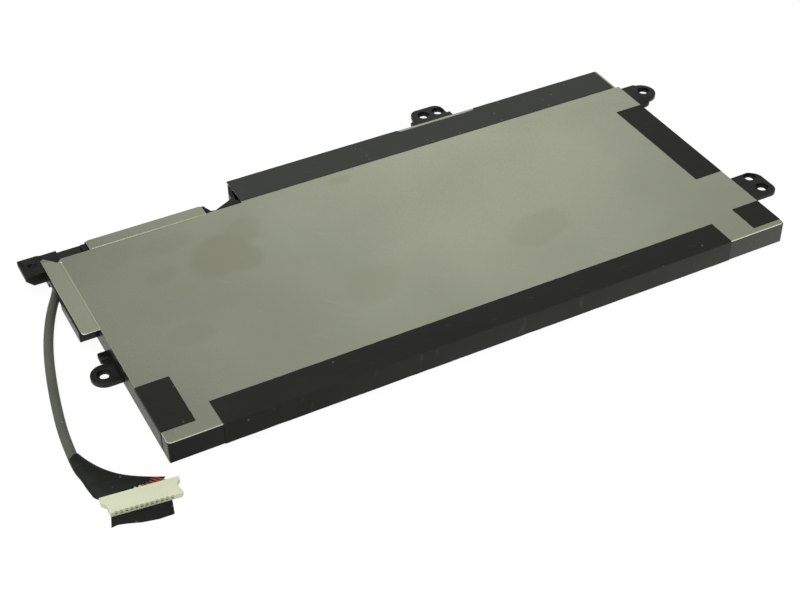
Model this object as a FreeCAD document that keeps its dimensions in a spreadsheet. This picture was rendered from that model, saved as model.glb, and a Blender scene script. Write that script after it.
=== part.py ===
import FreeCAD, Part
import math
import os
import re
import Sketcher

# Flat laptop battery, millimetres, +Z up.
# x = 0 is the left fold of the metal cover, y = 0 its front edge, z = 0 the table.
# Every finished piece is then moved so that the middle of the object's foot is the origin.

doc = FreeCAD.newDocument("laptop_battery")
sheet = doc.addObject("Spreadsheet::Sheet", "Sizes")

# Driving dimensions, one cell each.
SIZES = {
    # metal cover
    "cover_length": 198.0,
    "cell_field_depth": 87.2,
    "band_depth": 12.8,
    "cover_top": 7.24,
    "sheet_metal": 0.3,
    "cover_corner": 1.1,
    "band_cover_start": 58.6,
    "right_step_past": 0.8,
    "right_step": 1.2,
    "side_flap_width": 5.19,
    "side_flap_start": 51.15,
    "flap_slant_short": 1.4,
    "flap_tip_past": 2.2,
    "back_flap_start": 9.5,
    "back_flap_end": 46.8,
    "back_flap_reach": 4.8,
    "crease_width": 0.5,
    "crease_deep": 0.1,
    # moulded frame
    "film": 0.2,
    "film_inset": 0.6,
    "wall": 1.3,
    "thin_wall": 1.0,
    "frame_corner": 0.4,
    "lead_channel": 4.8,
    "neck_x": 50.0,
    "neck_past": 1.0,
    "band_start": 57.0,
    "rib": 1.0,
    "cell_rib_high": 1.0,
    "cell_rib_wide": 0.8,
    "ledge_end": 9.3,
    "ledge_top": 6.2,
    "ledge_thick": 0.8,
    "slot_y": 4.5,
    "slot_wide": 1.2,
    "slot_deep": 0.9,
    "slot_rib": 0.26,
    # hollow rail on the left side and the block at its end
    "rail_width": 5.15,
    "rail_start": 55.5,
    "rail_low": 1.1,
    "rail_wall": 0.9,
    "rail_step": 4.8,
    "rail_step_deep": 0.6,
    "cable_gate_long": 11.4,
    "cable_gate_top": 3.1,
    "block_reach": 11.4,
    "block_before": 3.8,
    "block_past": 0.2,
    "block_low": 3.4,
    "block_top": 7.1,
    "block_slant_wide": 2.2,
    "block_slant_high": 2.1,
    "block_wall": 1.0,
    "block_corner": 0.5,
    "dimple_x": 8.0,
    "dimple_wide": 2.6,
    "dimple_deep": 0.5,
    # screw lugs
    "lug_low": 0.3,
    "lug_thick": 1.4,
    "screw_bore": 2.6,
    "head_seat": 3.9,
    "seat_floor": 0.65,
    "lug_round": 3.0,
    "right_lug_round": 4.0,
    "left_ear_x": 3.57,
    "left_ear_y": 39.12,
    "left_ear_radius": 4.2,
    "left_bore_x": 3.86,
    "left_bore_y": 39.31,
    "tab_start": 44.9,
    "tab_length": 3.4,
    "tab_reach": 2.9,
    "tab_corner": 0.8,
    "right_lug_start": 19.75,
    "right_lug_end": 32.24,
    "right_lug_reach": 15.05,
    "right_bore_x": 11.45,
    "right_bore_y": 23.87,
    "right_bore_gap": 6.36,
    "corner_lug_before": 5.7,
    "corner_lug_past": 6.6,
    "corner_lug_reach": 10.3,
    "corner_ear_x": 10.4,
    "corner_ear_past": 1.2,
    "corner_ear_radius": 4.7,
    "corner_bore_x": 11.48,
    "corner_bore_past": 1.83,
    "back_lug_start": 129.3,
    "back_lug_end": 144.46,
    "back_lug_base": 9.7,
    "back_ear_start": 130.6,
    "back_ear_end": 143.22,
    "back_ear_reach": 15.47,
    "back_bore_x": 135.38,
    "back_bore_y": 11.78,
    "back_bore_gap": 5.49,
    # pouch cells
    "cell_gap": 0.3,
    "tab_room": 7.1,
    "cell_pad": 0.15,
    "cell_thick": 6.25,
    "cell_round": 1.6,
    "seal_reach": 2.0,
    "seal_thick": 0.3,
    "tab_wide": 6.0,
    "tab_thick": 0.15,
    "tab_offset": 13.0,
    "link_wide": 1.5,
    "link_thick": 0.15,
    # circuit board
    "board_start": 62.0,
    "board_short": 4.0,
    "board_thick": 0.8,
    "board_top": 3.6,
    "board_gap": 0.35,
    # tapes
    "tape": 0.15,
    "front_tape_start": 15.4,
    "front_tape_short": 19.6,
    "front_tape_deep": 9.7,
    "back_tape_deep": 11.7,
    "tape_rim": 1.2,
    "corner_tape_start": 4.8,
    "corner_tape_end": 23.9,
    "side_tape_wide": 9.7,
    "short_tape_start": 2.1,
    "short_tape_end": 12.7,
    "long_tape_start": 31.0,
    "long_tape_end": 74.85,
    "tape_lap": 1.2,
    # cable and its plug
    "sleeve": 2.8,
    "sleeve_height": 1.45,
    "wire": 0.44,
    "wire_pitch": 0.65,
    "wire_pad_pitch": 0.9,
    "plug_x": -20.66,
    "plug_below": 87.51,
    "plug_turn": -6.39,
    "plug_length": 20.67,
    "plug_depth": 6.15,
    "plug_low": 0.2,
    "plug_top": 1.7,
    "contact_gap": 1.3,
    "contact_first": 3.05,
    "contact_wide": 0.7,
    "contact_notch": 0.6,
    "contact_notch_deep": 0.8,
    "contact_room": 3.0,
    "contact_room_high": 0.7,
    "contact_floor": 0.3,
    "contact_strip": 0.4,
    "contact_strip_thick": 0.25,
    "wrap_gap": 1.0,
    "lead": 0.9,
}

# Lengths that follow from the driving ones.
DERIVED = {
    "shell_top": "cover_top - sheet_metal",
    "full_depth": "cell_field_depth + band_depth",
    "right_step_y": "cell_field_depth + right_step_past",
    "side_flap_slant": "cell_field_depth - flap_slant_short",
    "side_flap_tip": "cell_field_depth + flap_tip_past",
    "channel_back": "cell_field_depth + lead_channel",
    "neck_y": "cell_field_depth + neck_past",
    "block_start": "cell_field_depth - block_before",
    "block_end": "channel_back + block_past",
    "dimple_y": "(block_start + block_end) / 2",
    "cable_gate_end": "block_start",
    "cable_gate_start": "cable_gate_end - cable_gate_long",
    "corner_lug_start": "cell_field_depth - corner_lug_before",
    "corner_lug_end": "cell_field_depth + corner_lug_past",
    "corner_ear_y": "cell_field_depth + corner_ear_past",
    "corner_bore_y": "cell_field_depth + corner_bore_past",
    "cell_back": "cell_field_depth - tab_room",
    "board_end": "cover_length - board_short",
    "front_tape_end": "cover_length - front_tape_short",
    "plug_y": "cable_gate_end - plug_below",
    "lug_top": "lug_low + lug_thick",
    "centre_x": "(cover_length + right_lug_reach - block_reach) / 2",
    "centre_y": "(full_depth + back_ear_reach - tape) / 2",
    "field_end": "cover_length - wall",
    "cell_wide": "(cover_length - 2 * wall - 2 * cell_rib_wide) / 3",
    "field_back": "cell_field_depth - rib",
    "channel_front": "field_back + rib",
    "channel_inside": "channel_back - thin_wall",
    "band_end": "cover_length - right_step",
    "band_inside": "full_depth - wall",
    "cell_low": "film + cell_pad",
    "seal_middle": "board_top - tab_thick",
}


def bound(text):
    """Give the sheet's name to every word of a formula that names a size."""
    def swap(match):
        word = match.group(0)
        if word in DERIVED:
            return "(" + bound(DERIVED[word]) + ")"
        if word in SIZES:
            return "<<Sizes>>." + word
        return word
    return re.sub(r"[a-z][a-z_]*", swap, str(text))


def value(text):
    """Number that a formula over the sheet gives now."""
    return float(sheet.evalExpression(bound(text)))


for row, (alias, size) in enumerate(SIZES.items(), start=1):
    sheet.set("A%d" % row, alias)
    sheet.set("B%d" % row, str(size))
    sheet.setAlias("B%d" % row, alias)
doc.recompute()

PLANES = {"top": "XY_Plane", "front": "XZ_Plane", "side": "YZ_Plane"}
NODES = {}


def finish(piece, node):
    """Register a finished piece under its node's name and move it to the shared origin."""
    piece.Label = node
    NODES[node] = piece
    piece.setExpression("Placement.Base.x", bound("-centre_x"))
    piece.setExpression("Placement.Base.y", bound("-centre_y"))
    return piece


def new_body(name):
    """Empty body for one piece."""
    return doc.addObject("PartDesign::Body", name)


def sketch_on(body, plane, away, name):
    """Sketch on one of the body's own planes, a given distance away from it."""
    sketch = body.newObject("Sketcher::SketchObject", name)
    support = [f for f in body.Origin.OriginFeatures if f.Role == PLANES[plane]]
    sketch.AttachmentSupport = [(support[0], "")]
    sketch.MapMode = "FlatFace"
    sketch.setExpression("AttachmentOffset.Base.z", bound(away))
    return sketch


def hold(sketch, kind, edge, point, text):
    """Dimension from the sketch's origin to a point, bound to the sheet."""
    index = sketch.addConstraint(Sketcher.Constraint(kind, -1, 1, edge, point, value(text)))
    sketch.setExpression("Constraints[%d]" % index, bound(text))


def draw(sketch, corners):
    """Closed outline of straight edges through the given corners."""
    places = [FreeCAD.Vector(value(x), value(y), 0) for x, y in corners]
    first = sketch.GeometryCount
    count = len(places)
    for k, place in enumerate(places):
        sketch.addGeometry(Part.LineSegment(place, places[(k + 1) % count]), False)
    for k in range(count):
        after = first + (k + 1) % count
        sketch.addConstraint(Sketcher.Constraint("Coincident", first + k, 2, after, 1))
    for k, (x, y) in enumerate(corners):
        hold(sketch, "DistanceX", first + k, 1, x)
        hold(sketch, "DistanceY", first + k, 1, y)


def draw_box(sketch, low_x, high_x, low_y, high_y):
    """Rectangle between two pairs of limits."""
    draw(sketch, [(low_x, low_y), (high_x, low_y), (high_x, high_y), (low_x, high_y)])


def draw_round(sketch, x, y, radius):
    """Circle with its centre and radius bound to the sheet."""
    place = FreeCAD.Vector(value(x), value(y), 0)
    circle = sketch.addGeometry(Part.Circle(place, FreeCAD.Vector(0, 0, 1), value(radius)), False)
    hold(sketch, "DistanceX", circle, 3, x)
    hold(sketch, "DistanceY", circle, 3, y)
    index = sketch.addConstraint(Sketcher.Constraint("Radius", circle, value(radius)))
    sketch.setExpression("Constraints[%d]" % index, bound(radius))


def pad(body, sketch, length, name):
    """Add material from the sketch along its normal."""
    feature = body.newObject("PartDesign::Pad", name)
    feature.Profile = sketch
    feature.setExpression("Length", bound(length))
    sketch.Visibility = False
    doc.recompute()
    return feature


def pocket(body, sketch, depth, name, upwards=False):
    """Cut material from the sketch against its normal, or along it when upwards."""
    before = body.Tip.Shape.Volume
    feature = body.newObject("PartDesign::Pocket", name)
    feature.Profile = sketch
    feature.Reversed = upwards
    feature.setExpression("Length", bound(depth))
    sketch.Visibility = False
    doc.recompute()
    if body.Shape.Volume >= before:
        raise ValueError(name + " cuts nothing")
    return feature


def near(first, second):
    """True where two numbers are the same place in the model."""
    return abs(first - second) < 0.01


def upright_edges(shape, places):
    """Names of the vertical edges that stand at the given places."""
    names = []
    for x, y in places:
        at_x = value(x)
        at_y = value(y)
        for number, edge in enumerate(shape.Edges, start=1):
            ends = edge.Vertexes
            if len(ends) != 2 or near(ends[0].Z, ends[1].Z):
                continue
            if all(near(v.X, at_x) and near(v.Y, at_y) for v in ends):
                names.append("Edge%d" % number)
    return names


def level_edges(shape, height):
    """Names of the edges that lie at one height."""
    level = value(height)
    names = []
    for number, edge in enumerate(shape.Edges, start=1):
        if near(edge.BoundBox.ZMin, level) and near(edge.BoundBox.ZMax, level):
            names.append("Edge%d" % number)
    return names


def dress(body, kind, names, size, name):
    """Fillet or chamfer on named edges of the body's last feature."""
    base = body.Tip
    feature = body.newObject("PartDesign::" + kind, name)
    feature.Base = (base, names)
    feature.setExpression("Radius" if kind == "Fillet" else "Size", bound(size))
    doc.recompute()
    if feature.Shape.isNull() or not names:
        raise ValueError(name + " has failed on %d edges" % len(names))
    return feature


def round_uprights(body, places, radius, name):
    """Fillet on the vertical edges at the given places."""
    return dress(body, "Fillet", upright_edges(body.Tip.Shape, places), radius, name)


def repeat_along(body, feature, axis, length, count, name):
    """Row of copies of a feature along one of the body's axes."""
    support = [f for f in body.Origin.OriginFeatures if f.Role == axis]
    pattern = body.newObject("PartDesign::LinearPattern", name)
    pattern.Originals = [feature]
    pattern.Direction = (support[0], [""])
    pattern.setExpression("Length", bound(length))
    pattern.Occurrences = count
    body.Tip = pattern
    doc.recompute()
    return pattern


def plate(node, corners, low, thick):
    """Flat piece of one outline."""
    body = new_body(node + "_body")
    sketch = sketch_on(body, "top", low, node + "_outline")
    draw(sketch, corners)
    pad(body, sketch, thick, node + "_pad")
    return finish(body, node)


def box_corners(low_x, high_x, low_y, high_y):
    """Corners of a rectangle."""
    return [(low_x, low_y), (high_x, low_y), (high_x, high_y), (low_x, high_y)]


# Metal cover: one thin sheet with a folded strip on the left and one at the back left.

def metal_cover():
    body = new_body("cover_body")
    sketch = sketch_on(body, "top", "shell_top", "cover_outline")
    flap_corner = ("-side_flap_width", "side_flap_start")
    back_corners = [("back_flap_end", "cell_field_depth + back_flap_reach"),
                    ("back_flap_start", "cell_field_depth + back_flap_reach")]
    draw(sketch, [
        ("0", "0"),
        ("cover_length", "0"),
        ("cover_length", "right_step_y"),
        ("band_end", "right_step_y"),
        ("band_end", "full_depth"),
        ("band_cover_start", "full_depth"),
        ("band_cover_start", "cell_field_depth + 0.4"),
        ("back_flap_end", "cell_field_depth + 0.4"),
        back_corners[0],
        back_corners[1],
        ("back_flap_start", "cell_field_depth"),
        ("0.4", "cell_field_depth"),
        ("0", "cell_field_depth - 0.5"),
        ("-0.9", "side_flap_slant"),
        ("-4.2", "side_flap_tip"),
        ("-side_flap_width", "side_flap_tip - 0.5"),
        flap_corner,
        ("0", "side_flap_start"),
    ])
    pad(body, sketch, "sheet_metal", "cover_pad")
    creases = sketch_on(body, "top", "cover_top", "crease_lines")
    draw_box(creases, "-crease_width / 2", "crease_width / 2", "side_flap_start + 0.4",
             "side_flap_slant - 0.4")
    draw_box(creases, "back_flap_start + 0.4", "back_flap_end - 0.4", "cell_field_depth - crease_width / 2",
             "cell_field_depth + crease_width / 2")
    pocket(body, creases, "crease_deep", "creases")
    rounded = [("0", "0"), ("cover_length", "0"), flap_corner] + back_corners
    round_uprights(body, rounded, "cover_corner", "cover_corners")
    return finish(body, "metal_cover")


# Moulded frame: open ring round the cells, board channel, hollow rail, block and screw lugs.

BAND_END = [
    ("band_start + 3.9", "full_depth"),
    ("band_start + 1.5", "full_depth - 1.1"),
    ("band_start", "full_depth - 5.3"),
    ("band_start - 0.3", "neck_y + 3.4"),
    ("neck_x", "neck_y"),
    ("neck_x - 1.3", "neck_y + 0.4"),
    ("neck_x - 2.5", "channel_back"),
]
BAND_END_INSIDE = [
    ("band_start + 5", "band_inside"),
    ("band_start + 2.6", "band_inside - 0.6"),
    ("band_start + 1.2", "band_inside - 4.2"),
    ("band_start + 0.8", "neck_y + 2.7"),
    ("neck_x + 0.4", "neck_y - 1"),
    ("neck_x - 1.9", "neck_y - 0.9"),
    ("neck_x - 3.5", "channel_inside"),
]


def frame_outline(body):
    """Outer form of the frame, still solid."""
    outer = sketch_on(body, "top", "film", "ring_outline")
    draw(outer, [
        ("0", "0"),
        ("cover_length", "0"),
        ("cover_length", "right_step_y"),
        ("band_end", "right_step_y"),
        ("band_end", "full_depth"),
    ] + BAND_END + [("0", "channel_back")])
    pad(body, outer, "shell_top - film", "ring")
    round_uprights(body, [("0", "0"), ("cover_length", "0")], "frame_corner", "ring_corners")


def frame_rooms(body):
    """Cell field, board room and lead channel cut through the frame."""
    depth = "shell_top - film"
    field = sketch_on(body, "top", "shell_top", "cell_field")
    draw_box(field, "wall", "field_end", "wall", "field_back")
    draw_box(field, "board_start - 1", "band_end - wall", "channel_front", "band_inside")
    draw_box(field, "wall", "neck_x - 6", "channel_front", "channel_inside")
    pocket(body, field, depth, "cell_field_cut")
    neck = sketch_on(body, "top", "shell_top", "neck_room")
    board_side = [("board_start + 0.5", "field_back - 0.5"), ("board_start + 0.5", "band_inside")]
    channel_side = [("neck_x - 8", "channel_inside"), ("neck_x - 8", "field_back - 0.5")]
    draw(neck, board_side + BAND_END_INSIDE + channel_side)
    pocket(body, neck, depth, "neck_cut")


def frame_ribs(body):
    """Low bars between the cells and the seats under the board, with windows for the links."""
    bars = sketch_on(body, "top", "film", "cell_bar")
    draw_box(bars, "wall + cell_wide", "wall + cell_wide + cell_rib_wide", "wall - 0.5", "field_back + 0.5")
    bar = pad(body, bars, "cell_rib_high", "bar")
    repeat_along(body, bar, "X_Axis", "cell_wide + cell_rib_wide", 2, "bars")
    seats = sketch_on(body, "top", "film", "board_seat")
    draw_box(seats, "board_start + 6", "board_start + 6 + rib", "channel_front - 0.5", "band_inside + 0.5")
    seat = pad(body, seats, "board_top - board_thick - film", "seat")
    repeat_along(body, seat, "X_Axis", "board_end - board_start - 13", 6, "seats")
    windows = sketch_on(body, "top", "shell_top", "link_windows")
    for middle, half in LINK_WINDOWS:
        draw_box(windows, middle + " - " + half, middle + " + " + half, "field_back - 0.2",
                 "channel_front + 0.2")
    pocket(body, windows, "shell_top - board_top + tab_thick", "link_windows_cut")


def cell_middle(index):
    """Middle of one cell along x, counted from the left."""
    return "(wall + cell_wide / 2 + %d * (cell_wide + cell_rib_wide))" % index


LINK_WINDOWS = [
    ("(board_start + 8)", "2"),
    ("(board_start + 15)", "2"),
    ("(" + cell_middle(1) + " + tab_offset + 20)", "2"),
    ("(" + cell_middle(2) + " + tab_offset)", "(tab_wide / 2 + 0.3)"),
    ("(" + cell_middle(1) + ")", "1.2"),
]


def frame_rail(body):
    """Rail under the left strip of the cover, still solid."""
    rail = sketch_on(body, "top", "rail_low", "rail_outline")
    draw_box(rail, "-rail_width", "wall / 2", "rail_start", "channel_back")
    pad(body, rail, "shell_top - rail_low", "rail")


def frame_rail_room(body):
    """Room in the rail, open below, with the gate for the cable."""
    room = sketch_on(body, "top", "rail_low", "rail_room")
    draw_box(room, "-rail_width + rail_wall", "0", "rail_start + rail_wall", "channel_inside")
    pocket(body, room, "ledge_top - ledge_thick - rail_low", "rail_room_cut", upwards=True)
    step = sketch_on(body, "top", "shell_top", "rail_step_strip")
    draw_box(step, "-rail_width - 1", "-rail_width + rail_step_deep", "rail_start - 1", "block_start")
    pocket(body, step, "shell_top - rail_step", "rail_step_cut")
    gate = sketch_on(body, "top", "rail_low", "cable_gate")
    draw_box(gate, "-rail_width - 1", "-rail_width + rail_wall + 0.2", "cable_gate_start", "cable_gate_end")
    pocket(body, gate, "cable_gate_top - rail_low", "cable_gate_cut", upwards=True)
    pass_hole = sketch_on(body, "top", "film", "lead_pass")
    draw_box(pass_hole, "-0.5", "wall + 0.5", "channel_front + 0.3", "channel_inside")
    pocket(body, pass_hole, "cable_gate_top + 0.3 - film", "lead_pass_cut", upwards=True)


def frame_ledge(body):
    """Roofs over the lead channel: a low one at its left end and a high one over its neck."""
    roof = sketch_on(body, "top", "ledge_top - ledge_thick", "ledge_outline")
    draw_box(roof, "-0.5", "ledge_end", "field_back + 0.2", "channel_back - 0.2")
    pad(body, roof, "ledge_thick", "ledge")
    neck_roof = sketch_on(body, "top", "shell_top - ledge_thick", "neck_roof_outline")
    draw(neck_roof, [
        ("neck_x - 1", "field_back + 0.2"),
        ("band_cover_start + 0.6", "field_back + 0.2"),
        ("band_cover_start + 0.6", "cell_field_depth + 0.6"),
        ("band_start + 0.2", "neck_y + 3"),
        ("neck_x", "neck_y - 0.2"),
    ])
    pad(body, neck_roof, "ledge_thick", "neck_roof")
    cut = sketch_on(body, "top", "shell_top", "ledge_clear")
    draw_box(cut, "0.5", "ledge_end", "cell_field_depth", "channel_back + 1")
    pocket(body, cut, "shell_top - ledge_top", "ledge_clear_cut")


def frame_block(body):
    """Block at the back left corner with a slanted lower edge, still solid."""
    profile = sketch_on(body, "front", "-block_end", "block_profile")
    draw(profile, [
        ("-block_reach", "block_low + block_slant_high"),
        ("-block_reach + block_slant_wide", "block_low"),
        ("-rail_width + rail_wall / 2", "block_low"),
        ("-rail_width + rail_wall / 2", "shell_top"),
        ("-side_flap_width - 0.05", "shell_top"),
        ("-side_flap_width - 0.05", "block_top"),
        ("-block_reach", "block_top"),
    ])
    pad(body, profile, "block_end - block_start", "block")
    outer_corners = [("-block_reach", "block_start"), ("-block_reach", "block_end")]
    round_uprights(body, outer_corners, "block_corner", "block_corners")


def frame_block_cuts(body):
    """Core and dimple of the block."""
    core = sketch_on(body, "top", "block_low", "block_core")
    draw_box(core, "-block_reach + block_slant_wide + 0.3", "-rail_width - block_wall",
             "block_start + block_wall", "block_end - block_wall")
    pocket(body, core, "block_top - block_low - dimple_deep - block_wall", "block_core_cut", upwards=True)
    dimple = sketch_on(body, "top", "block_top", "dimple")
    draw_round(dimple, "-dimple_x", "dimple_y", "dimple_wide / 2")
    pocket(body, dimple, "dimple_deep", "dimple_cut")


def frame_lugs(body):
    """Screw lugs at the foot of the walls and the small tab beside the left one."""
    right_end = "cover_length + right_lug_reach"
    corner_end = "cover_length + corner_lug_reach"
    back_end = "full_depth + back_ear_reach"
    arms = sketch_on(body, "top", "lug_low", "lug_arms")
    draw_box(arms, "-left_ear_x", "wall / 2", "left_ear_y - left_ear_radius", "left_ear_y + left_ear_radius")
    draw_box(arms, "-tab_reach", "wall / 2", "tab_start", "tab_start + tab_length")
    draw_box(arms, "cover_length - wall / 2", right_end, "right_lug_start", "right_lug_end")
    draw(arms, [
        ("band_end - wall / 2", "corner_lug_start"),
        (corner_end, "corner_lug_start"),
        (corner_end, "corner_ear_y"),
        ("cover_length + corner_ear_x + 0.7", "corner_lug_end - 0.8"),
        ("cover_length + corner_ear_x", "corner_lug_end"),
        ("band_end - wall / 2", "corner_lug_end"),
    ])
    draw_box(arms, "back_lug_start", "back_lug_end", "full_depth - wall / 2", "full_depth + back_lug_base")
    pad(body, arms, "lug_thick", "lug_arms_pad")
    round_uprights(body, [("-tab_reach", "tab_start + tab_length")], "tab_corner", "tab_corner_round")
    front_corners = [(right_end, "right_lug_start"), (corner_end, "corner_lug_start")]
    round_uprights(body, front_corners, "lug_round", "lug_front_corners")
    round_uprights(body, [(right_end, "right_lug_end")], "right_lug_round", "right_lug_corner")
    ears = sketch_on(body, "top", "lug_low", "lug_ears")
    draw_round(ears, "-left_ear_x", "left_ear_y", "left_ear_radius")
    draw_round(ears, "cover_length + corner_ear_x", "corner_ear_y", "corner_ear_radius")
    draw(ears, [
        ("back_ear_start", "full_depth + back_lug_base - 1"),
        ("back_ear_end", "full_depth + back_lug_base - 1"),
        ("back_ear_end", back_end),
        ("back_ear_start + 1.5", back_end),
        ("back_ear_start", "full_depth + back_lug_base + 0.6"),
    ])
    pad(body, ears, "lug_thick", "lug_ears_pad")
    back_corners = [("back_ear_end", back_end), ("back_ear_start + 1.5", back_end)]
    round_uprights(body, back_corners, "lug_round", "back_ear_corners")


BORES = [
    ("-left_bore_x", "left_bore_y"),
    ("cover_length + right_bore_x", "right_bore_y"),
    ("cover_length + right_bore_x", "right_bore_y + right_bore_gap"),
    ("cover_length + corner_bore_x", "corner_bore_y"),
    ("back_bore_x", "full_depth + back_bore_y"),
    ("back_bore_x + back_bore_gap", "full_depth + back_bore_y"),
]


def frame_bores(body):
    """Screw holes through the lugs, each with a round seat for the screw's head."""
    seats = sketch_on(body, "top", "lug_top", "head_seats")
    for x, y in BORES:
        draw_round(seats, x, y, "head_seat / 2")
    pocket(body, seats, "lug_thick - seat_floor", "head_seats_cut")
    bores = sketch_on(body, "top", "lug_top", "screw_bores")
    for x, y in BORES:
        draw_round(bores, x, y, "screw_bore / 2")
    pocket(body, bores, "lug_thick", "screw_bores_cut")


def frame_slot(body):
    """Narrow upright slot near the front left corner, with a thin rib inside."""
    slot = sketch_on(body, "top", "shell_top", "corner_slot")
    middle = "(slot_y + slot_wide / 2)"
    draw_box(slot, "-1", "slot_deep", "slot_y", middle + " - slot_rib / 2")
    draw_box(slot, "-1", "slot_deep", middle + " + slot_rib / 2", "slot_y + slot_wide")
    pocket(body, slot, "shell_top - film", "corner_slot_cut")


def frame():
    body = new_body("frame_body")
    frame_outline(body)
    frame_lugs(body)
    frame_rail(body)
    frame_block(body)
    frame_rooms(body)
    frame_rail_room(body)
    frame_block_cuts(body)
    frame_slot(body)
    frame_bores(body)
    frame_ledge(body)
    frame_ribs(body)
    return finish(body, "frame")


def bottom_film():
    """Thin film that closes the frame from below and carries the battery on a table."""
    inset = "film_inset"
    return plate("bottom_film", [
        (inset, inset),
        ("cover_length - " + inset, inset),
        ("cover_length - " + inset, "right_step_y - " + inset),
        ("band_end - " + inset, "right_step_y"),
        ("band_end - " + inset, "full_depth - " + inset),
        ("band_start + 4", "full_depth - " + inset),
        ("band_start + 2", "full_depth - 1.6"),
        ("band_start + 0.7", "full_depth - 5.3"),
        ("band_start + 0.4", "neck_y + 3"),
        ("neck_x + 0.2", "neck_y - " + inset),
        ("neck_x - 1.5", "neck_y - " + inset),
        ("neck_x - 3", "channel_back - " + inset),
        (inset, "channel_back - " + inset),
    ], "0", "film")


# Cells, their tabs and the strips that join them.

def pouch_cell(index, side):
    """Flat pouch with rounded edges and a thin sealed lip at the back, one solid."""
    body = new_body("cell_%s_body" % side)
    low_x = cell_middle(index) + " - cell_wide / 2 + cell_gap"
    high_x = cell_middle(index) + " + cell_wide / 2 - cell_gap"
    sketch = sketch_on(body, "top", "cell_low", "cell_%s_outline" % side)
    draw_box(sketch, low_x, high_x, "wall + cell_gap", "cell_back")
    pad(body, sketch, "cell_thick", "cell_%s_pad" % side)
    rims = level_edges(body.Tip.Shape, "cell_low") + level_edges(body.Tip.Shape, "cell_low + cell_thick")
    dress(body, "Fillet", rims, "cell_round", "cell_%s_rounding" % side)
    lip = sketch_on(body, "top", "seal_middle - (seal_thick - tab_thick) / 2", "cell_%s_lip" % side)
    draw_box(lip, low_x + " + 2", high_x + " - 2", "cell_back - 1", "cell_back + seal_reach")
    pad(body, lip, "seal_thick", "cell_%s_lip_pad" % side)
    return finish(body, "cell_" + side)


def cell_tab(index, side, sign, reach):
    """Thin metal tab that leaves the cell's lip."""
    middle = cell_middle(index) + (" + tab_offset" if sign == "positive" else " - tab_offset")
    corners = box_corners(middle + " - tab_wide / 2", middle + " + tab_wide / 2", "cell_back + seal_reach",
                          reach)
    return plate("tab_%s_%s" % (sign, side), corners, "board_top - tab_thick", "tab_thick")


def cell_pad(index, side):
    """Adhesive pad between the cell and the film."""
    middle = cell_middle(index)
    half = "(cell_wide / 2 - 8)"
    corners = box_corners(middle + " - " + half, middle + " + " + half, "10", "cell_back - 10")
    return plate("cell_pad_" + side, corners, "film", "cell_pad")


INNER_LANE = "(cell_back + seal_reach + 0.3)"
OUTER_LANE = "(cell_back + seal_reach + 0.3 + link_wide + 0.6)"


def links():
    """Nickel strips in two lanes behind the cells, each with a branch to the board where it needs one."""
    left_minus = cell_middle(0) + " - tab_offset - tab_wide / 2"
    left_plus = cell_middle(0) + " + tab_offset - tab_wide / 2"
    middle_minus = cell_middle(1) + " - tab_offset + tab_wide / 2"
    middle_plus = cell_middle(1) + " + tab_offset - tab_wide / 2"
    right_minus = cell_middle(2) + " - tab_offset + tab_wide / 2"
    branch_end = "channel_front + 3"
    pack_end = "(board_start + 9.5)"
    plate("pack_negative_link", [
        (left_minus, OUTER_LANE),
        (pack_end, OUTER_LANE),
        (pack_end, branch_end),
        (pack_end + " - 3", branch_end),
        (pack_end + " - 3", OUTER_LANE + " + link_wide"),
        (left_minus, OUTER_LANE + " + link_wide"),
    ], "board_top", "link_thick")
    tap = "(board_start + 15)"
    plate("link_left_middle", [
        (left_plus, INNER_LANE),
        (middle_minus, INNER_LANE),
        (middle_minus, INNER_LANE + " + link_wide"),
        (tap + " + 1.5", INNER_LANE + " + link_wide"),
        (tap + " + 1.5", branch_end),
        (tap + " - 1.5", branch_end),
        (tap + " - 1.5", INNER_LANE + " + link_wide"),
        (left_plus, INNER_LANE + " + link_wide"),
    ], "board_top", "link_thick")
    tap = "(" + cell_middle(1) + " + tab_offset + 20)"
    plate("link_middle_right", [
        (middle_plus, INNER_LANE),
        (right_minus, INNER_LANE),
        (right_minus, INNER_LANE + " + link_wide"),
        (tap + " + 1.5", INNER_LANE + " + link_wide"),
        (tap + " + 1.5", branch_end),
        (tap + " - 1.5", branch_end),
        (tap + " - 1.5", INNER_LANE + " + link_wide"),
        (middle_plus, INNER_LANE + " + link_wide"),
    ], "board_top", "link_thick")
    plus = cell_middle(2) + " + tab_offset"
    plate("pack_positive_link", box_corners(plus + " - 2.5", plus + " + 2.5", INNER_LANE, branch_end),
          "board_top", "link_thick")


def cells():
    for index, side in enumerate(("left", "middle", "right")):
        pouch_cell(index, side)
        cell_pad(index, side)
        plus_reach = OUTER_LANE + " - 0.3" if side == "left" else INNER_LANE + " + link_wide + 0.3"
        minus_reach = OUTER_LANE + " + link_wide" if side == "left" else INNER_LANE + " + link_wide + 0.3"
        cell_tab(index, side, "positive", plus_reach)
        cell_tab(index, side, "negative", minus_reach)
    links()


# Circuit board and the parts on it.

def chip_row(node, places, length, depth, height):
    """Like chips on the board, one solid each."""
    chips = []
    for number, (x, y) in enumerate(places):
        chip = doc.addObject("Part::Box", "%s_%d" % (node, number))
        chip.setExpression("Length", bound(length))
        chip.setExpression("Width", bound(depth))
        chip.setExpression("Height", bound(height))
        chip.setExpression("Placement.Base.x", bound(x + " - (" + length + ") / 2"))
        chip.setExpression("Placement.Base.y", bound(y + " - (" + depth + ") / 2"))
        chip.setExpression("Placement.Base.z", bound("board_top"))
        chips.append(chip)
    group = doc.addObject("Part::Compound", node + "_group")
    group.Links = chips
    return finish(group, node)


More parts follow.
